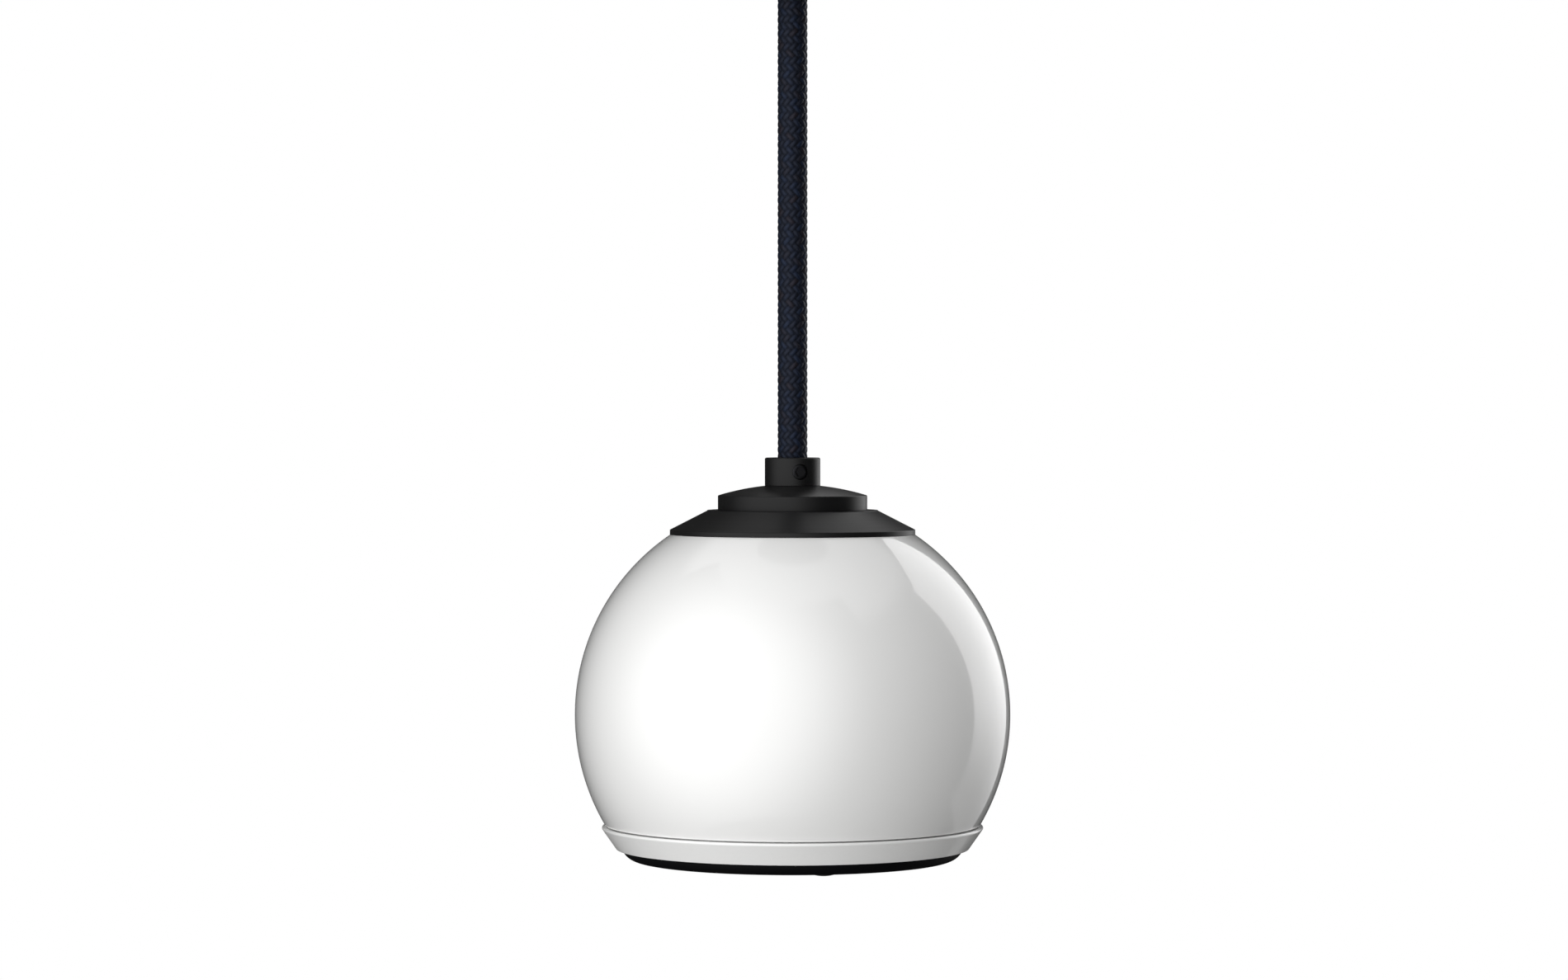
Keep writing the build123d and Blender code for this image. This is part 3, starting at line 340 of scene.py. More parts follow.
def platedSteel(name, colour, polish):
    # plated metal: bright and slightly mottled, with spangles of about 2 mm
    material, tree, shader, point = newMaterial(name, {
        "Base Color": hexColour(colour), "Metallic": 1.0})
    spangle = addNode(tree, "TexVoronoi", {"Vector": point, "Scale": 420.0}).outputs["Distance"]
    skin = addNode(tree, "MapRange", {
        "Value": spangle, "To Min": polish - 0.07, "To Max": polish + 0.09}).outputs[0]
    grain = addNode(tree, "TexNoise", {"Vector": point, "Scale": 3000.0, "Detail": 2.0}).outputs[0]
    bump = addNode(tree, "Bump", {"Height": grain, "Distance": 0.012 * mm, "Strength": 0.5})
    setInputs(shader, {"Roughness": skin, "Normal": bump.outputs[0]})
    return material

def mouldedPlastic(name, colour, polish):
    # injection-moulded plastic with a fine spark-eroded grain of about 0.5 mm
    material, tree, shader, point = newMaterial(name, {"Base Color": hexColour(colour), "IOR": 1.5})
    grain = addNode(tree, "TexNoise", {"Vector": point, "Scale": 2000.0, "Detail": 2.0}).outputs[0]
    skin = addNode(tree, "MapRange", {
        "Value": grain, "To Min": polish - 0.05, "To Max": polish + 0.06}).outputs[0]
    bump = addNode(tree, "Bump", {"Height": grain, "Distance": 0.02 * mm, "Strength": 0.5})
    setInputs(shader, {"Roughness": skin, "Normal": bump.outputs[0]})
    return material

def wovenCloth():
    # the spider's cotton cloth stiffened with brown resin, plain-woven with threads 1 mm apart
    material, tree, shader, point = newMaterial("phenolicCloth", {
        "Roughness": 0.8, "Sheen Weight": 0.1})
    threads = [addNode(tree, "TexWave", {"Vector": point, "Scale": 318.0, "Distortion": 0.6},
                       bands_direction=axis).outputs[1] for axis in ("X", "Y")]
    weave = addNode(tree, "Math", {0: threads[0], 1: threads[1]}, operation="MULTIPLY").outputs[0]
    tone = addNode(tree, "Mix", {0: weave, 6: hexColour("#7a5a24"), 7: hexColour("#b98f45")},
                   data_type="RGBA")
    bump = addNode(tree, "Bump", {"Height": weave, "Distance": 0.15 * mm, "Strength": 0.8})
    setInputs(shader, {"Base Color": tone.outputs[2], "Normal": bump.outputs[0]})
    return material

def fibrous(name, dark, light, grain, depth, polish):
    # a mat of fibres or grains, grain and depth in millimetres: paper pulp, felt or sintered powder
    material, tree, shader, point = newMaterial(name, {"Roughness": polish, "Sheen Weight": 0.15})
    fibres = addNode(tree, "TexNoise", {
        "Vector": point, "Scale": 1000.0 / grain, "Detail": 5.0, "Roughness": 0.7,
        "Distortion": 2.0}).outputs[0]
    mat = addNode(tree, "MapRange", {"Value": fibres, "From Min": 0.35, "From Max": 0.7}).outputs[0]
    tone = addNode(tree, "Mix", {0: mat, 6: hexColour(dark), 7: hexColour(light)}, data_type="RGBA")
    bump = addNode(tree, "Bump", {"Height": fibres, "Distance": depth * mm, "Strength": 0.8})
    setInputs(shader, {"Base Color": tone.outputs[2], "Normal": bump.outputs[0]})
    return material

def softRubber(name, colour):
    # moulded black rubber with a cloudy bloom
    material, tree, shader, point = newMaterial(name, {"Base Color": hexColour(colour), "IOR": 1.52})
    bloom = addNode(tree, "TexNoise", {"Vector": point, "Scale": 260.0, "Detail": 4.0}).outputs[0]
    skin = addNode(tree, "MapRange", {"Value": bloom, "To Min": 0.46, "To Max": 0.66}).outputs[0]
    bump = addNode(tree, "Bump", {"Height": bloom, "Distance": 0.02 * mm, "Strength": 0.4})
    setInputs(shader, {"Roughness": skin, "Normal": bump.outputs[0]})
    return material

def woundCopper():
    # enamelled copper wire of 0.2 mm, wound edge to edge
    material, tree, shader, point = newMaterial("enamelledCopper", {
        "Base Color": hexColour("#b8622f"), "Metallic": 0.9, "Roughness": 0.3})
    height = addNode(tree, "SeparateXYZ", {0: point}).outputs[2]
    turns = addNode(tree, "Math", {0: height, 1: 2 * pi / (0.2 * mm)}, operation="MULTIPLY").outputs[0]
    ridge = addNode(tree, "Math", {0: turns}, operation="SINE").outputs[0]
    bump = addNode(tree, "Bump", {"Height": ridge, "Distance": 0.04 * mm, "Strength": 0.9})
    setInputs(shader, {"Normal": bump.outputs[0]})
    return material

ballWhite = lacqueredShell()
ringWhite = mouldedWhite()
capBlack = turnedBlack()
cupBlack = coatedSteel("satinBlackSteel", "#1a1a1b", 0.42)
grilleBlack = coatedSteel("powderBlackSteel", "#08080a", 0.66, 0.1)
frameBlack = coatedSteel("blackElectrocoat", "#18181a", 0.45)
zincBright = platedSteel("brightZinc", "#b9bcc0", 0.34)
zincYellow = platedSteel("yellowPassivatedZinc", "#b3a887", 0.34)
screwBlack = platedSteel("blackenedSteel", "#2a2a2c", 0.38)
brassPlain = platedSteel("nickelledBrass", "#c9a86a", 0.3)
foilSilver = platedSteel("aluminiumFoil", "#c4c6c9", 0.25)
tinselBraid = platedSteel("tinnedBraid", "#b88f66", 0.4)
blockWhite = mouldedPlastic("whitePolyamide", "#dedcd6", 0.45)
boardBrown = mouldedPlastic("phenolicBoard", "#7d4f2c", 0.5)
coreBrown = mouldedPlastic("brownPvc", "#5a3420", 0.42)
coreBlue = mouldedPlastic("bluePvc", "#1f4f8c", 0.42)
gasketBlack = softRubber("epdmRubber", "#232324")
rollRubber = softRubber("butylRubber", "#161617")
spiderCloth = wovenCloth()
paperBlack = fibrous("blackPaperPulp", "#151517", "#2b2b2e", 1.1, 0.08, 0.82)
feltGrey = fibrous("greyPolyesterFelt", "#58585b", "#99999c", 1.4, 0.6, 0.95)
ferrite = fibrous("sinteredFerrite", "#232426", "#343538", 0.8, 0.05, 0.62)
copperWire = woundCopper()
print("finishes mixed")

# Helpers for shapes

weldGap = 0.001 * mm    # points closer than this are merged

def arcPoints(centre, radius, start, end, steps):
    # points on an arc, with its angles in degrees from outwards, anticlockwise
    places = []
    for step in range(steps + 1):
        angle = radians(start + (end - start) * step / steps)
        places.append((centre[0] + radius * cos(angle), centre[1] + radius * sin(angle)))
    return places

def ballArc(radius, fromHeight, toHeight, steps):
    start, end = degrees(asin(fromHeight / radius)), degrees(asin(toHeight / radius))
    return arcPoints((0, 0), radius, start, end, steps)

def roundedChain(corners, arcSteps):
    # corners with a third value are rounded, and each arc is held in shape by a point past each end
    chain = []
    for index, corner in enumerate(corners):
        here = Vector(corner[:2])
        if len(corner) < 3 or not corner[2]:
            chain.append(here)
            continue
        before = Vector(corners[index - 1][:2]) - here
        after = Vector(corners[(index + 1) % len(corners)][:2]) - here
        half = before.angle(after) / 2
        reach = corner[2] / tan(half)
        centre = here + (before.normalized() + after.normalized()).normalized() * (corner[2] / sin(half))
        first, last = here + before.normalized() * reach, here + after.normalized() * reach
        startAngle = atan2(first.y - centre.y, first.x - centre.x)
        sweep = (atan2(last.y - centre.y, last.x - centre.x) - startAngle + pi) % (2 * pi) - pi
        hold = corner[2] * 0.5
        if before.length > reach + 2 * hold:
            chain.append(first + before.normalized() * hold)
        for step in range(arcSteps + 1):
            angle = startAngle + sweep * step / arcSteps
            chain.append(centre + Vector((cos(angle), sin(angle))) * corner[2])
        if after.length > reach + 2 * hold:
            chain.append(last + after.normalized() * hold)
    return chain

def selectAlone(piece):
    bpy.ops.object.select_all(action="DESELECT")
    piece.select_set(True)
    bpy.context.view_layer.objects.active = piece

def applyPlace(piece):
    selectAlone(piece)
    bpy.ops.object.transform_apply(location=True, rotation=True, scale=True)

def shadeSmooth(piece, angle=32):
    selectAlone(piece)
    bpy.ops.object.shade_smooth_by_angle(angle=radians(angle))

def bevelEdges(piece, offset, segments):
    selectAlone(piece)
    bpy.ops.object.mode_set(mode="EDIT")
    bpy.ops.mesh.select_all(action="SELECT")
    bpy.ops.mesh.bevel(offset=offset * mm, segments=segments, affect="EDGES")
    bpy.ops.object.mode_set(mode="OBJECT")

def joinInto(piece, extras):
    selectAlone(piece)
    for extra in extras:
        extra.select_set(True)
    bpy.ops.object.join()

def cutWith(piece, cutter):
    selectAlone(piece)
    modifier = piece.modifiers.new("cut", "BOOLEAN")
    modifier.operation = "DIFFERENCE"
    modifier.solver = "EXACT"
    modifier.object = cutter
    bpy.ops.object.modifier_apply(modifier=modifier.name)
    bpy.data.objects.remove(cutter)

def turnedPiece(name, corners, spinSteps=192, height=ballHeight, arcSteps=7, closed=True):
    # a chain of points is drawn in the plane of X and Z, then spun round the axis
    chain = [Vector((point[0], 0, point[1] + height)) * mm for point in roundedChain(corners, arcSteps)]
    if closed:
        chain.append(chain[0])
    bpy.ops.object.select_all(action="DESELECT")
    bpy.ops.mesh.primitive_plane_add(size=mm, location=(0, 0, 0))
    piece = bpy.context.object
    piece.name = name
    piece.data.name = name
    bpy.ops.object.mode_set(mode="EDIT")
    bpy.ops.mesh.select_all(action="SELECT")
    bpy.ops.mesh.merge(type="CENTER")
    bpy.ops.transform.translate(value=chain[0])
    for before, after in zip(chain, chain[1:]):
        bpy.ops.mesh.extrude_vertices_move(TRANSFORM_OT_translate={"value": after - before})
    bpy.ops.mesh.select_all(action="SELECT")
    bpy.ops.mesh.remove_doubles(threshold=weldGap / 2)
    bpy.ops.mesh.spin(steps=spinSteps, angle=2 * pi, center=(0, 0, 0), axis=(0, 0, 1))
    bpy.ops.mesh.select_all(action="SELECT")
    bpy.ops.mesh.remove_doubles(threshold=weldGap)
    bpy.ops.mesh.normals_make_consistent(inside=False)
    bpy.ops.object.mode_set(mode="OBJECT")
    shadeSmooth(piece)
    return piece

def hexRadius(across):
    # from a hexagon's middle to its corners, where across is the width over its flats
    return across / 2 / cos(radians(30))

def radialTool(radius, start, end, turn, height, sides=48):
    # a cylinder that points outwards from the axis
    bpy.ops.object.select_all(action="DESELECT")
    bpy.ops.mesh.primitive_cylinder_add(vertices=sides, radius=radius * mm, depth=(end - start) * mm,
                                        location=(0, 0, 0), rotation=(0, pi / 2, 0))
    tool = bpy.context.object
    applyPlace(tool)
    middle = Vector(((start + end) / 2 * mm, 0, height * mm))
    tool.matrix_world = Matrix.Rotation(radians(turn), 4, "Z") @ Matrix.Translation(middle)
    applyPlace(tool)
    return tool

def finishPiece(piece, material, body, node):
    # a soft piece has no body of its own here
    piece.data.materials.clear()
    piece.data.materials.append(material)
    if body:
        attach(piece, body)
    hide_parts(node)
    return piece

# Ball

shell = {
    "radius": 51.0, "wall": 1.2, "seat": 46.0, "seatHole": 5.1, "opening": -25.8, "edge": 0.12,
    "outerSteps": 110, "innerSteps": 60,
}

def makeShell(size):
    inner, ceiling = size["radius"] - size["wall"], size["seat"] - size["wall"]
    outside = ballArc(size["radius"], size["opening"], size["seat"], size["outerSteps"])
    inside = ballArc(inner, size["opening"], ceiling, size["innerSteps"])
    outside[0] = (*outside[0], size["edge"])
    seat = [(size["seatHole"], size["seat"]), (size["seatHole"], ceiling)]
    return turnedPiece("ballShell", outside + seat + inside[::-1], spinSteps=256)

finishPiece(makeShell(shell), ballWhite, "housing", "shell")
print("ball turned")

# Front ring, with its hooks and screw bosses inside the ball

ring = {
    "outline": [
        (42.3, -26.1), (45.07, -26.1, 0.41), (41.4, -31.35, 0.12), (40.2, -31.35, 0.12),
        (40.2, -25.0), (34.0, -25.0, 0.2), (34.0, -22.8, 0.2), (40.3, -22.8, 0.8),
        (40.3, -20.5, 0.3), (42.3, -20.5, 0.4)],
    # a hook is a wedge, and its foot reaches out under the ball's edge
    "hook": {"count": 4, "width": 10.0, "from": 41.3, "to": 42.35, "barb": 43.3, "foot": -24.0,
             "top": -20.5},
    "boss": {"count": 4, "turn": 45, "at": 36.25, "radius": 3.0, "foot": -23.9, "top": -16.0,
             "bevel": 0.3},
}

def makeBoss(size, number):
    turn = radians(size["turn"] + 360 * number / size["count"])
    middle = (size["foot"] + size["top"]) / 2 + ballHeight
    bpy.ops.object.select_all(action="DESELECT")
    bpy.ops.mesh.primitive_cylinder_add(
        vertices=40, radius=size["radius"] * mm, depth=(size["top"] - size["foot"]) * mm,
        location=(size["at"] * cos(turn) * mm, size["at"] * sin(turn) * mm, middle * mm))
    boss = bpy.context.object
    bevelEdges(boss, size["bevel"], 3)
    return boss

def makeHook(size, number):
    turn = 2 * pi * number / size["count"]
    bpy.ops.object.select_all(action="DESELECT")
    bpy.ops.mesh.primitive_cube_add(size=1)
    hook = bpy.context.object
    for vertex in hook.data.vertices:
        outer, low = vertex.co.x > 0, vertex.co.z < 0
        far = size["barb"] if low else size["to"]
        reach = far if outer else size["from"]
        height = (size["foot"] if low else size["top"]) + ballHeight
        place = Vector((reach, vertex.co.y * size["width"], height)) * mm
        vertex.co = Matrix.Rotation(turn, 3, "Z") @ place
    return hook

def makeRing(size):
    body = turnedPiece("frontRing", size["outline"], arcSteps=9)
    extras = [makeBoss(size["boss"], number) for number in range(size["boss"]["count"])]
    extras += [makeHook(size["hook"], number) for number in range(size["hook"]["count"])]
    for extra in extras:
        applyPlace(extra)
    joinInto(body, extras)
    shadeSmooth(body)
    return body

finishPiece(makeRing(ring), ringWhite, "housing", "front_ring")
print("ring turned")

# Cap: flange, dome and collar

flange = {
    "lift": 0.08, "edge": 28.75, "rim": 1.1, "hub": 46.5, "bore": 5.1, "ledge": 47.9,
    "ledgeEdge": 20.0, "ledgeStep": 0.1, "steps": 24,
}

def makeFlange(size):
    # its underside follows the ball, a little above it
    seat = shell["radius"] + size["lift"]
    foot = sqrt(seat ** 2 - size["edge"] ** 2)
    under = ballArc(seat, foot, size["hub"], size["steps"])
    corners = [
        (size["edge"], foot + size["rim"], 0.25),
        (size["ledgeEdge"], size["ledge"] - size["ledgeStep"], 0.05),
        (size["ledgeEdge"], size["ledge"], 0.04), (size["bore"], size["ledge"]),
        (size["bore"], size["hub"])]
    return turnedPiece("capFlange", corners + under[::-1])

finishPiece(makeFlange(flange), capBlack, "housing", "cap_flange")

dome = {
    "edge": 17.5, "edgeRound": 0.3, "top": 53.6, "flat": 6.5, "crown": 60.0, "foot": 47.9,
    "wall": 2.0, "bore": 5.1, "steps": 12,
}

def crownHeight(size, reach):
    # the crown's curve falls from the flat top, where the collar stands
    fall = sqrt(size["crown"] ** 2 - size["flat"] ** 2) - sqrt(size["crown"] ** 2 - reach ** 2)
    return size["top"] - fall

def makeDome(size):
    crown = []
    for step in range(size["steps"] + 1):
        reach = size["edge"] + (size["flat"] - size["edge"]) * step / size["steps"]
        crown.append((reach, crownHeight(size, reach)))
    crown[0] = (*crown[0], size["edgeRound"])
    inner, under = size["edge"] - size["wall"], size["top"] - size["wall"]
    rest = [
        (size["bore"], size["top"]), (size["bore"], under), (size["flat"], under),
        (inner, crownHeight(size, inner) - size["wall"]), (inner, size["foot"]),
        (size["edge"], size["foot"], 0.08)]
    return turnedPiece("capDome", crown + rest)

finishPiece(makeDome(dome), capBlack, "housing", "cap_dome")

grip = {
    "bore": 3.6, "stem": 4.95, "radius": 6.5, "height": 6.6, "capStem": 15.1, "ceilingStem": 10.0,
    "screwTurn": -86, "hole": 1.85, "holeFrom": 3.0, "holeTo": 8.0,
}
setScrew = {"radius": 1.8, "tip": 3.55, "head": 6.2, "bevel": 0.18, "socket": 2.0, "socketDepth": 1.4}

def makeGrip(name, size, stemLength, foot, upside=1):
    # collar from its foot, on the stem that goes into the cap, or up into the cup where upside is -1
    corners = [
        (size["bore"], -stemLength, 0.15), (size["stem"], -stemLength, 0.3), (size["stem"], 0),
        (size["radius"], 0, 0.1), (size["radius"], size["height"], 0.4),
        (size["bore"], size["height"], 0.3)]
    if upside < 0:
        corners = [(corner[0], -corner[1], *corner[2:]) for corner in corners]
    collar = turnedPiece(name, corners, spinSteps=128, height=foot)
    cutWith(collar, radialTool(size["hole"], size["holeFrom"], size["holeTo"], size["screwTurn"],
                               foot + upside * size["height"] / 2))
    shadeSmooth(collar)
    return collar

def makeSetScrew(name, size, height):
    turn, head = grip["screwTurn"], size["head"]
    screw = radialTool(size["radius"], size["tip"], head, turn, height)
    screw.name = name
    bevelEdges(screw, size["bevel"], 2)
    cutWith(screw, radialTool(hexRadius(size["socket"]), head - size["socketDepth"], head + 1,
                              turn, height, sides=6))
    shadeSmooth(screw, 28)
    return screw

collarFoot = ballHeight + dome["top"]
screwLift = grip["height"] / 2

finishPiece(makeGrip("cableCollar", grip, grip["capStem"], collarFoot),
            capBlack, "housing", "cable_collar")
finishPiece(makeSetScrew("collarSetScrew", setScrew, collarFoot + screwLift),
            screwBlack, "housing", "collar_screw")
finishPiece(makeGrip("ceilingGrip", grip, grip["ceilingStem"], cupFloor, upside=-1),
            capBlack, "housing", "ceiling_grip")
finishPiece(makeSetScrew("ceilingSetScrew", setScrew, cupFloor - screwLift),
            screwBlack, "housing", "grip_screw")
print("cap and grips turned")

# Ceiling cup

cup = {
    "radius": 40.0, "wall": 1.0, "lip": -0.3, "bend": 5.0, "bore": 5.1,
    "screwHole": 2.05, "screwHeight": -7.0, "screwTurns": (0, 180),
}

def makeCup(size):
    inner, raised = size["radius"] - size["wall"], cupFloor + size["wall"]
    corners = [
        (size["bore"], cupFloor), (size["radius"], cupFloor, size["bend"]),
        (size["radius"], size["lip"], 0.3), (inner, size["lip"], 0.3),
        (inner, raised, size["bend"] - size["wall"]), (size["bore"], raised)]
    body = turnedPiece("ceilingCup", corners, height=0, arcSteps=14)
    for turn in size["screwTurns"]:
        cutWith(body, radialTool(size["screwHole"], size["radius"] - 2, size["radius"] + 2,
                                 turn, size["screwHeight"]))
    shadeSmooth(body)
    return body

finishPiece(makeCup(cup), cupBlack, "housing", "ceiling_cup")
print("ceiling cup turned")

# Grille: a pressed steel cup with hexagonal holes on a close net

grille = {
    "skirt": 40.05, "seat": -25.0, "ringFoot": -31.35, "face": -34.05, "flat": 36.4, "hold": 0.6,
    "sheet": 0.8, "pitch": 4.2, "across": 3.0, "field": 31.3, "punch": 3.0, "steps": 16,
}

def holePlaces(size):
    # a close net: every other row is shifted by half a pitch, and only whole holes in the field count
    rowStep = size["pitch"] * sin(radians(60))
    rows = int(size["field"] / rowStep)
    for row in range(-rows, rows + 1):
        shift = size["pitch"] / 2 if row % 2 else 0
        for column in range(-rows, rows + 1):
            x, y = column * size["pitch"] + shift, row * rowStep
            if hypot(x, y) + hexRadius(size["across"]) <= size["field"]:
                yield x * mm, y * mm, (size["face"] + ballHeight) * mm

def makePunches(size):
    # one punch is made, copied to each hole's place, and all are joined
    places = list(holePlaces(size))
    bpy.ops.object.select_all(action="DESELECT")
    bpy.ops.mesh.primitive_cylinder_add(vertices=6, radius=hexRadius(size["across"]) * mm,
                                        depth=size["punch"] * mm, location=places[0])
    first = bpy.context.object
    copies = []
    for place in places[1:]:
        punch = first.copy()
        punch.data = first.data.copy()
        punch.location = place
        bpy.context.collection.objects.link(punch)
        copies.append(punch)
    joinInto(first, copies)
    print("grille holes", len(places))
    return first

def makeGrille(size):
    # the sheet bends from its flat face up into the skirt, which stands inside the ring
    sheet, face = size["sheet"], size["face"]
    reach, depth = size["skirt"] - size["flat"], size["ringFoot"] - face
    bend = (reach ** 2 + depth ** 2) / (2 * depth)
    centre = (size["flat"], face + bend)
    outerEnd = degrees(asin(reach / bend)) - 90
    innerEnd = degrees(asin((reach - sheet) / (bend - sheet))) - 90
    outer = arcPoints(centre, bend, -90, outerEnd, size["steps"])
    inner = arcPoints(centre, bend - sheet, -90, innerEnd, size["steps"])
    hold = size["flat"] - size["hold"]
    skirt = [(size["skirt"], size["seat"]), (size["skirt"] - sheet, size["seat"])]
    corners = ([(0, face), (hold, face)] + outer + skirt + inner[::-1]
               + [(hold, face + sheet), (0, face + sheet)])
    body = turnedPiece("pressedGrille", corners, closed=False)
    cutWith(body, makePunches(size))
    shadeSmooth(body, 30)
    return body

finishPiece(makeGrille(grille), grilleBlack, "housing", "grille")

badge = {"radius": 2.5, "thick": 0.5, "edge": 0.15, "at": 33.85, "steps": 10}

def makeBadge(size):
    # a domed button, turned at the origin and then moved to the front edge of the face
    crown = size["thick"] - size["edge"]
    bend = (size["radius"] ** 2 + crown ** 2) / (2 * crown)
    end = degrees(asin(size["radius"] / bend)) - 90
    face = arcPoints((0, bend - size["thick"]), bend, -90, end, size["steps"])
    button = turnedPiece("grilleButton", face + [(size["radius"], 0), (0, 0)], spinSteps=64, height=0,
                         closed=False)
    button.location = (0, -size["at"] * mm, (grille["face"] + ballHeight) * mm)
    applyPlace(button)
    return button

finishPiece(makeBadge(badge), screwBlack, "housing", "grille_badge")
print("grille punched")

# Driver: the parts that show through the holes

def stretchWithCone(piece):
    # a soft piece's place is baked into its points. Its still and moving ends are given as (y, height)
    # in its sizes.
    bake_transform(piece)

def bowedLine(start, end, bow, steps):
    # points from start to end, swelling to one side by the bow at the middle
    places = []
    run, fall = end[0] - start[0], end[1] - start[1]
    span = hypot(run, fall)
    for step in range(steps + 1):
        share = step / steps
        swell = bow * 4 * share * (1 - share)
        places.append((start[0] + run * share - swell * fall / span,
                       start[1] + fall * share + swell * run / span))
    return places

cone = {
    "neck": 10.05, "neckHeight": -12.0, "neckThick": 0.84, "lipFrom": 22.6, "lip": 25.0,
    "lipHeight": -24.4, "thick": 0.6, "bow": 0.9, "steps": 20,
}

def makeCone(size):
    foot = size["lipHeight"] - size["thick"]
    back = bowedLine((size["neck"], size["neckHeight"]), (size["lipFrom"], size["lipHeight"]),
                     size["bow"], size["steps"])
    front = bowedLine((size["neck"], size["neckHeight"] - size["neckThick"]), (size["lipFrom"], foot),
                      size["bow"], size["steps"])
    lip = [(size["lip"], size["lipHeight"]), (size["lip"], foot)]
    return turnedPiece("paperCone", back + lip + front[::-1], spinSteps=128)

finishPiece(makeCone(cone), paperBlack, "diaphragm", "cone")

dustCap = {"rim": 10.0, "rimHeight": -14.05, "height": 4.0, "wall": 0.4, "steps": 16}

def makeDustCap(size):
    crown = (size["rim"] ** 2 + size["height"] ** 2) / (2 * size["height"])
    innerCrown = crown - size["wall"]
    centre = (0, size["rimHeight"] - size["height"] + crown)
    innerRim = sqrt(innerCrown ** 2 - (centre[1] - size["rimHeight"]) ** 2)
    outerEnd = degrees(asin(size["rim"] / crown)) - 90
    innerEnd = degrees(asin(innerRim / innerCrown)) - 90
    outer = arcPoints(centre, crown, -90, outerEnd, size["steps"])
    inner = arcPoints(centre, innerCrown, -90, innerEnd, size["steps"])
    return turnedPiece("dustCap", outer + inner[::-1], spinSteps=96, closed=False)

finishPiece(makeDustCap(dustCap), paperBlack, "diaphragm", "dust_cap")

surround = {
    "centre": 28.2, "height": -27.25, "roll": 2.8, "thick": 0.5, "rim": 33.4, "lip": 23.2,
    "lipHeight": -25.0, "steps": 24, "still": (0, -27.0), "moving": (0, -25.25),
}

def makeSurround(size):
    half = size["thick"] / 2
    middle = (size["centre"], size["height"])
    near, far = size["centre"] - size["roll"], size["centre"] + size["roll"]
    top, lipTop = size["height"] + half, size["lipHeight"]
    foot, lipFoot = top - size["thick"], lipTop - size["thick"]
    inside = arcPoints(middle, size["roll"] - half, 0, -180, size["steps"])
    outside = arcPoints(middle, size["roll"] + half, -180, 0, size["steps"])
    lip = [(near + half, lipTop), (size["lip"], lipTop), (size["lip"], lipFoot), (near - half, lipFoot)]
    corners = ([(size["rim"], top), (far - half, top)] + inside + lip + outside
               + [(far + half, foot), (size["rim"], foot)])
    return turnedPiece("rubberSurround", corners, spinSteps=144)

roll = finishPiece(makeSurround(surround), rollRubber, None, "surround")
stretchWithCone(roll)

spider = {
    "rim": 23.2, "from": 19.6, "hub": 11.4, "neck": 10.05, "top": -9.4, "fall": 2.2, "waves": 4,
    "wave": 0.45, "thick": 0.4, "still": (0, -9.8), "moving": (0, -11.6),
}

def makeSpider(size):
    # corrugated cloth: ridges and valleys by turns, from the rim down to the hub
    steps, foot = 2 * size["waves"], size["top"] - size["fall"]
    ridge = [(size["rim"], size["top"]), (size["from"], size["top"], 0.5)]
    for step in range(1, steps):
        share = step / steps
        wave = size["wave"] if step % 2 == 0 else -size["wave"]
        ridge.append((size["from"] + share * (size["hub"] - size["from"]),
                      size["top"] - share * size["fall"] + wave, 0.3))
    ridge += [(size["hub"], foot, 0.3), (size["neck"], foot)]
    under = [(corner[0], corner[1] - size["thick"], *corner[2:]) for corner in reversed(ridge)]
    return turnedPiece("clothSpider", ridge + under, spinSteps=128, arcSteps=5)

web = finishPiece(makeSpider(spider), spiderCloth, None, "spider")
stretchWithCone(web)

def cadCopy(node, name):
    # a merged copy of a CAD piece, shaded smooth
    piece = nodes[node].copy()
    piece.data = nodes[node].data.copy()
    piece.name = name
    piece.parent = None
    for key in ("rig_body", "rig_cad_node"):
        if key in piece:
            del piece[key]
    bpy.context.collection.objects.link(piece)
    selectAlone(piece)
    bpy.ops.object.mode_set(mode="EDIT")
    bpy.ops.mesh.select_all(action="SELECT")
    bpy.ops.mesh.remove_doubles(threshold=weldGap)
    bpy.ops.object.mode_set(mode="OBJECT")
    bpy.ops.mesh.customdata_custom_splitnormals_clear()
    shadeSmooth(piece, 35)
    return piece

for side in ("positive", "negative"):
    node = "tinsel_" + side
    wire = finishPiece(cadCopy(node, "tinselLead." + side), tinselBraid, None, node)
    stretchWithCone(wire)
print("driver made")

# Finishes of the CAD pieces that stay

cadFinishes = {
    "ceiling_bracket": zincBright, "cup_screws": screwBlack, "grip_locknut": zincBright,
    "terminal_block": blockWhite, "terminal_screws": brassPlain, "block_screw": zincBright,
    "top_core_positive": coreBrown, "top_core_negative": coreBlue, "top_gasket": gasketBlack,
    "inner_washer": zincBright, "inner_nut": zincBright, "cable_stop": zincBright,
    "damping_felt": feltGrey, "driver_gasket": gasketBlack, "basket": frameBlack,
    "driver_screws": screwBlack, "top_plate": zincYellow, "magnet": ferrite, "yoke": zincYellow,
    "coil_former": foilSilver, "voice_coil": copperWire, "terminal_strip": boardBrown,
    "solder_tags": brassPlain, "lead_positive": coreBrown, "lead_negative": coreBlue,
}

for name, material in cadFinishes.items():
    nodes[name].data.materials.clear()
    nodes[name].data.materials.append(material)
print("CAD finishes set")

# Studio

cameraTurn = -102    # degrees: the side of the ball that the camera stands on

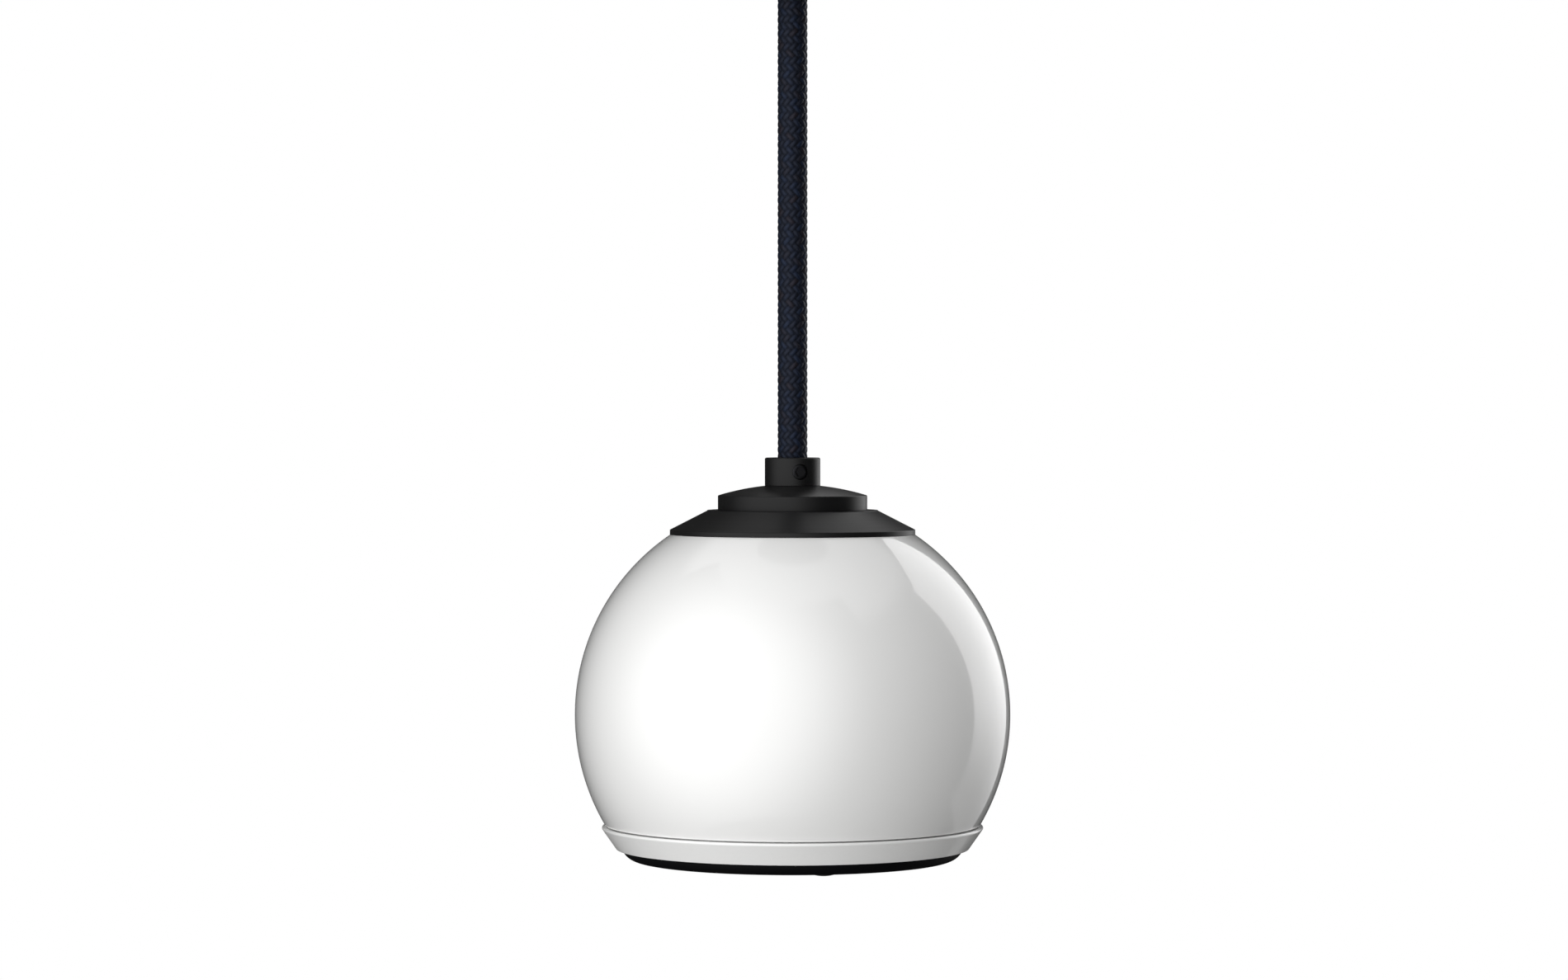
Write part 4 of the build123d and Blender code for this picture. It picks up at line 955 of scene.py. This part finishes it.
# A wide soft umbrella at the front left, one overhead, a tall panel behind on the right, a small
# light high behind that gives the cap's slope its shine, a fill behind the object, and black flags
# that only the gloss shows. Azimuths are counted from the camera's direction to the right, and
# elevations from the ball's height, both in degrees. Distances and heights are in metres.
studio = {
    # the floor is plain as far as one distance from its middle, and white from another
    "floor": {"height": -1.4, "radius": 4.5, "colour": "#a3a3a1", "whiteness": 0.66, "plain": 1.2,
              "white": 4.275},
    # ambient lights the object, and the background is only seen
    "world": {"ambient": 0.235, "background": 1.0},
    # full brightness up to one angle from the middle, and none at the edge. The key ends level at
    # the elevation of its head, so that it doesn't stand in front of the one overhead.
    "umbrellas": {
        "keyUmbrella": {"azimuth": -33.5, "elevation": 8, "distance": 1.5, "radiance": 1.86,
                        "full": 25, "edge": 79, "head": 62},
        "topUmbrella": {"azimuth": 0, "elevation": 90, "distance": 2.3, "radiance": 0.74,
                        "full": 37, "edge": 47},
        "hairLight": {"azimuth": 171, "elevation": 40, "distance": 1.7, "radiance": 1.7,
                      "full": 6, "edge": 14},
        "rearFill": {"azimuth": 180, "elevation": 12, "distance": 1.6, "radiance": 1.3,
                     "full": 10, "edge": 50, "glossy": False},
    },
    # between two azimuths, with foot and top from the ball's height, and dimmer over the lowest
    # share of the panel
    "panels": {
        "backPanel": {"from": 110, "to": 153.3, "foot": -0.75, "top": 2.0, "distance": 1.6,
                      "radiance": 1.95, "footRadiance": 0.4, "footShare": 0.36},
    },
    "flags": {
        "rightFlag": {"from": 20, "to": 112, "foot": -1.7, "top": 2.4, "distance": 1.75,
                      "radiance": 0.02},
        "lowCard": {"from": 109, "to": 153, "foot": -1.7, "top": 2.4, "distance": 1.95,
                    "radiance": 0.4},
        "rearFlag": {"from": 150, "to": 216, "foot": -1.7, "top": 2.6, "distance": 1.85,
                     "radiance": 0.03},
        "leftFlag": {"from": 214, "to": 268, "foot": -1.7, "top": 2.6, "distance": 1.85,
                     "radiance": 0.03},
    },
    "floorFlag": {"drop": 1.15, "width": 4.4, "radiance": 0.02},
}
ballCentre = Vector((0, 0, ballHeight * mm))

def fromBall(azimuth, elevation, distance=1.0):
    turn = radians(azimuth + cameraTurn)
    across = distance * cos(radians(elevation))
    return Vector((across * cos(turn), across * sin(turn), distance * sin(radians(elevation))))

def glowing(name, lamp):
    # light cloth: an umbrella dims towards its edge, a panel towards its foot, a flag is even
    material = bpy.data.materials.new(name)
    material.use_nodes = True
    tree = material.node_tree
    tree.nodes.clear()
    place = addNode(tree, "SeparateXYZ", {0: addNode(tree, "TexCoord", {}).outputs["Object"]})
    strength = lamp["radiance"]
    if "edge" in lamp:
        angle = addNode(tree, "Math", {0: place.outputs[2]}, operation="ARCCOSINE").outputs[0]
        strength = addNode(tree, "MapRange", {
            "Value": angle, "From Min": radians(lamp["full"]), "From Max": radians(lamp["edge"]),
            "To Min": lamp["radiance"], "To Max": 0.0}, interpolation_type="SMOOTHSTEP").outputs[0]
    if "footShare" in lamp:
        # a panel's own height runs from -0.5 to 0.5
        strength = addNode(tree, "MapRange", {
            "Value": place.outputs[1], "From Min": -0.5, "From Max": lamp["footShare"] - 0.5,
            "To Min": lamp["footRadiance"], "To Max": lamp["radiance"]},
            interpolation_type="SMOOTHSTEP").outputs[0]
    glow = addNode(tree, "Emission", {"Strength": strength})
    addNode(tree, "OutputMaterial", {0: glow.outputs[0]})
    return material

def stageLight(cloth, name, material, glossy=True, lights=True):
    cloth.name = name
    cloth.data.materials.append(material)
    cloth.visible_camera = False
    cloth.visible_glossy = glossy
    cloth.visible_diffuse = cloth.visible_shadow = cloth.visible_transmission = lights

def addUmbrella(name, lamp):
    # a cap of a sphere round the ball, cut level where it would hide the light overhead
    towards = fromBall(lamp["azimuth"], lamp["elevation"])
    bpy.ops.object.select_all(action="DESELECT")
    bpy.ops.mesh.primitive_uv_sphere_add(
        segments=64, ring_count=32, radius=1, location=ballCentre,
        rotation=towards.to_track_quat("Z", "Y").to_euler())
    cloth = bpy.context.object
    cloth.scale = (lamp["distance"],) * 3
    bpy.context.view_layer.update()
    bpy.ops.object.mode_set(mode="EDIT")
    bpy.ops.mesh.select_all(action="SELECT")
    rim = ballCentre + towards * lamp["distance"] * cos(radians(lamp["edge"]))
    bpy.ops.mesh.bisect(plane_co=rim, plane_no=towards, clear_inner=True)
    if "head" in lamp:
        bpy.ops.mesh.select_all(action="SELECT")
        level = ballCentre + Vector((0, 0, lamp["distance"] * sin(radians(lamp["head"]))))
        bpy.ops.mesh.bisect(plane_co=level, plane_no=(0, 0, 1), clear_outer=True)
    bpy.ops.object.mode_set(mode="OBJECT")
    stageLight(cloth, name, glowing(name, lamp), glossy=lamp.get("glossy", True))

def addScreen(name, lamp, lights):
    # an upright screen, between two azimuths
    middle, half = (lamp["from"] + lamp["to"]) / 2, radians(lamp["to"] - lamp["from"]) / 2
    rise = Vector((0, 0, (lamp["foot"] + lamp["top"]) / 2))
    bpy.ops.object.select_all(action="DESELECT")
    bpy.ops.mesh.primitive_plane_add(
        size=1, location=ballCentre + fromBall(middle, 0, lamp["distance"]) + rise)
    screen = bpy.context.object
    screen.rotation_euler = (-fromBall(middle, 0)).to_track_quat("Z", "Y").to_euler()
    screen.scale = (2 * lamp["distance"] * tan(half), lamp["top"] - lamp["foot"], 1)
    stageLight(screen, name, glowing(name, lamp), lights=lights)

def addFloorFlag(lamp):
    bpy.ops.object.select_all(action="DESELECT")
    bpy.ops.mesh.primitive_plane_add(
        size=lamp["width"], location=ballCentre - Vector((0, 0, lamp["drop"])))
    stageLight(bpy.context.object, "floorFlag", glowing("floorFlag", lamp), lights=False)

def whereSeen(tree):
    # 1 where the background is looked at, straight or in gloss or glass
    path = addNode(tree, "LightPath", {}).outputs
    straight = addNode(tree, "Math", {0: path["Is Camera Ray"], 1: path["Is Transmission Ray"]},
                       operation="MAXIMUM").outputs[0]
    return addNode(tree, "Math", {0: straight, 1: path["Is Glossy Ray"]},
                   operation="MAXIMUM").outputs[0]

def addWorld(light):
    world = bpy.data.worlds.new("studio")
    bpy.context.scene.world = world
    world.use_nodes = True
    tree = world.node_tree
    strength = addNode(tree, "MapRange", {
        "Value": whereSeen(tree), "To Min": light["ambient"], "To Max": light["background"]})
    setInputs(tree.nodes["Background"], {0: (1, 1, 1, 1), 1: strength.outputs[0]})

def addFloor(size):
    bpy.ops.object.select_all(action="DESELECT")
    bpy.ops.mesh.primitive_circle_add(
        vertices=96, radius=size["radius"], fill_type="NGON", location=(0, 0, size["height"]))
    floor = bpy.context.object
    floor.name = "floor"
    material, tree, shader, point = newMaterial("paleFloor", {
        "Base Color": hexColour(size["colour"]), "Roughness": 0.9, "Specular IOR Level": 0.1,
        "Emission Color": (1, 1, 1, 1)})
    # it turns as white as the background towards its rim
    reach = addNode(tree, "VectorMath", {0: point}, operation="LENGTH").outputs["Value"]
    whiteness = addNode(tree, "MapRange", {
        "Value": reach, "From Min": size["plain"], "From Max": size["white"],
        "To Min": size["whiteness"], "To Max": 1.0}, interpolation_type="SMOOTHSTEP").outputs[0]
    lift = addNode(tree, "MapRange", {"Value": whereSeen(tree), "To Max": whiteness})
    setInputs(shader, {"Emission Strength": lift.outputs[0]})
    floor.data.materials.append(material)

addWorld(studio["world"])
addFloor(studio["floor"])
for name, umbrella in studio["umbrellas"].items():
    addUmbrella(name, umbrella)
for name, panel in studio["panels"].items():
    addScreen(name, panel, lights=True)
for name, flag in studio["flags"].items():
    addScreen(name, flag, lights=False)
addFloorFlag(studio["floorFlag"])
bpy.context.scene.view_settings.view_transform = "Standard"
print("studio lit")
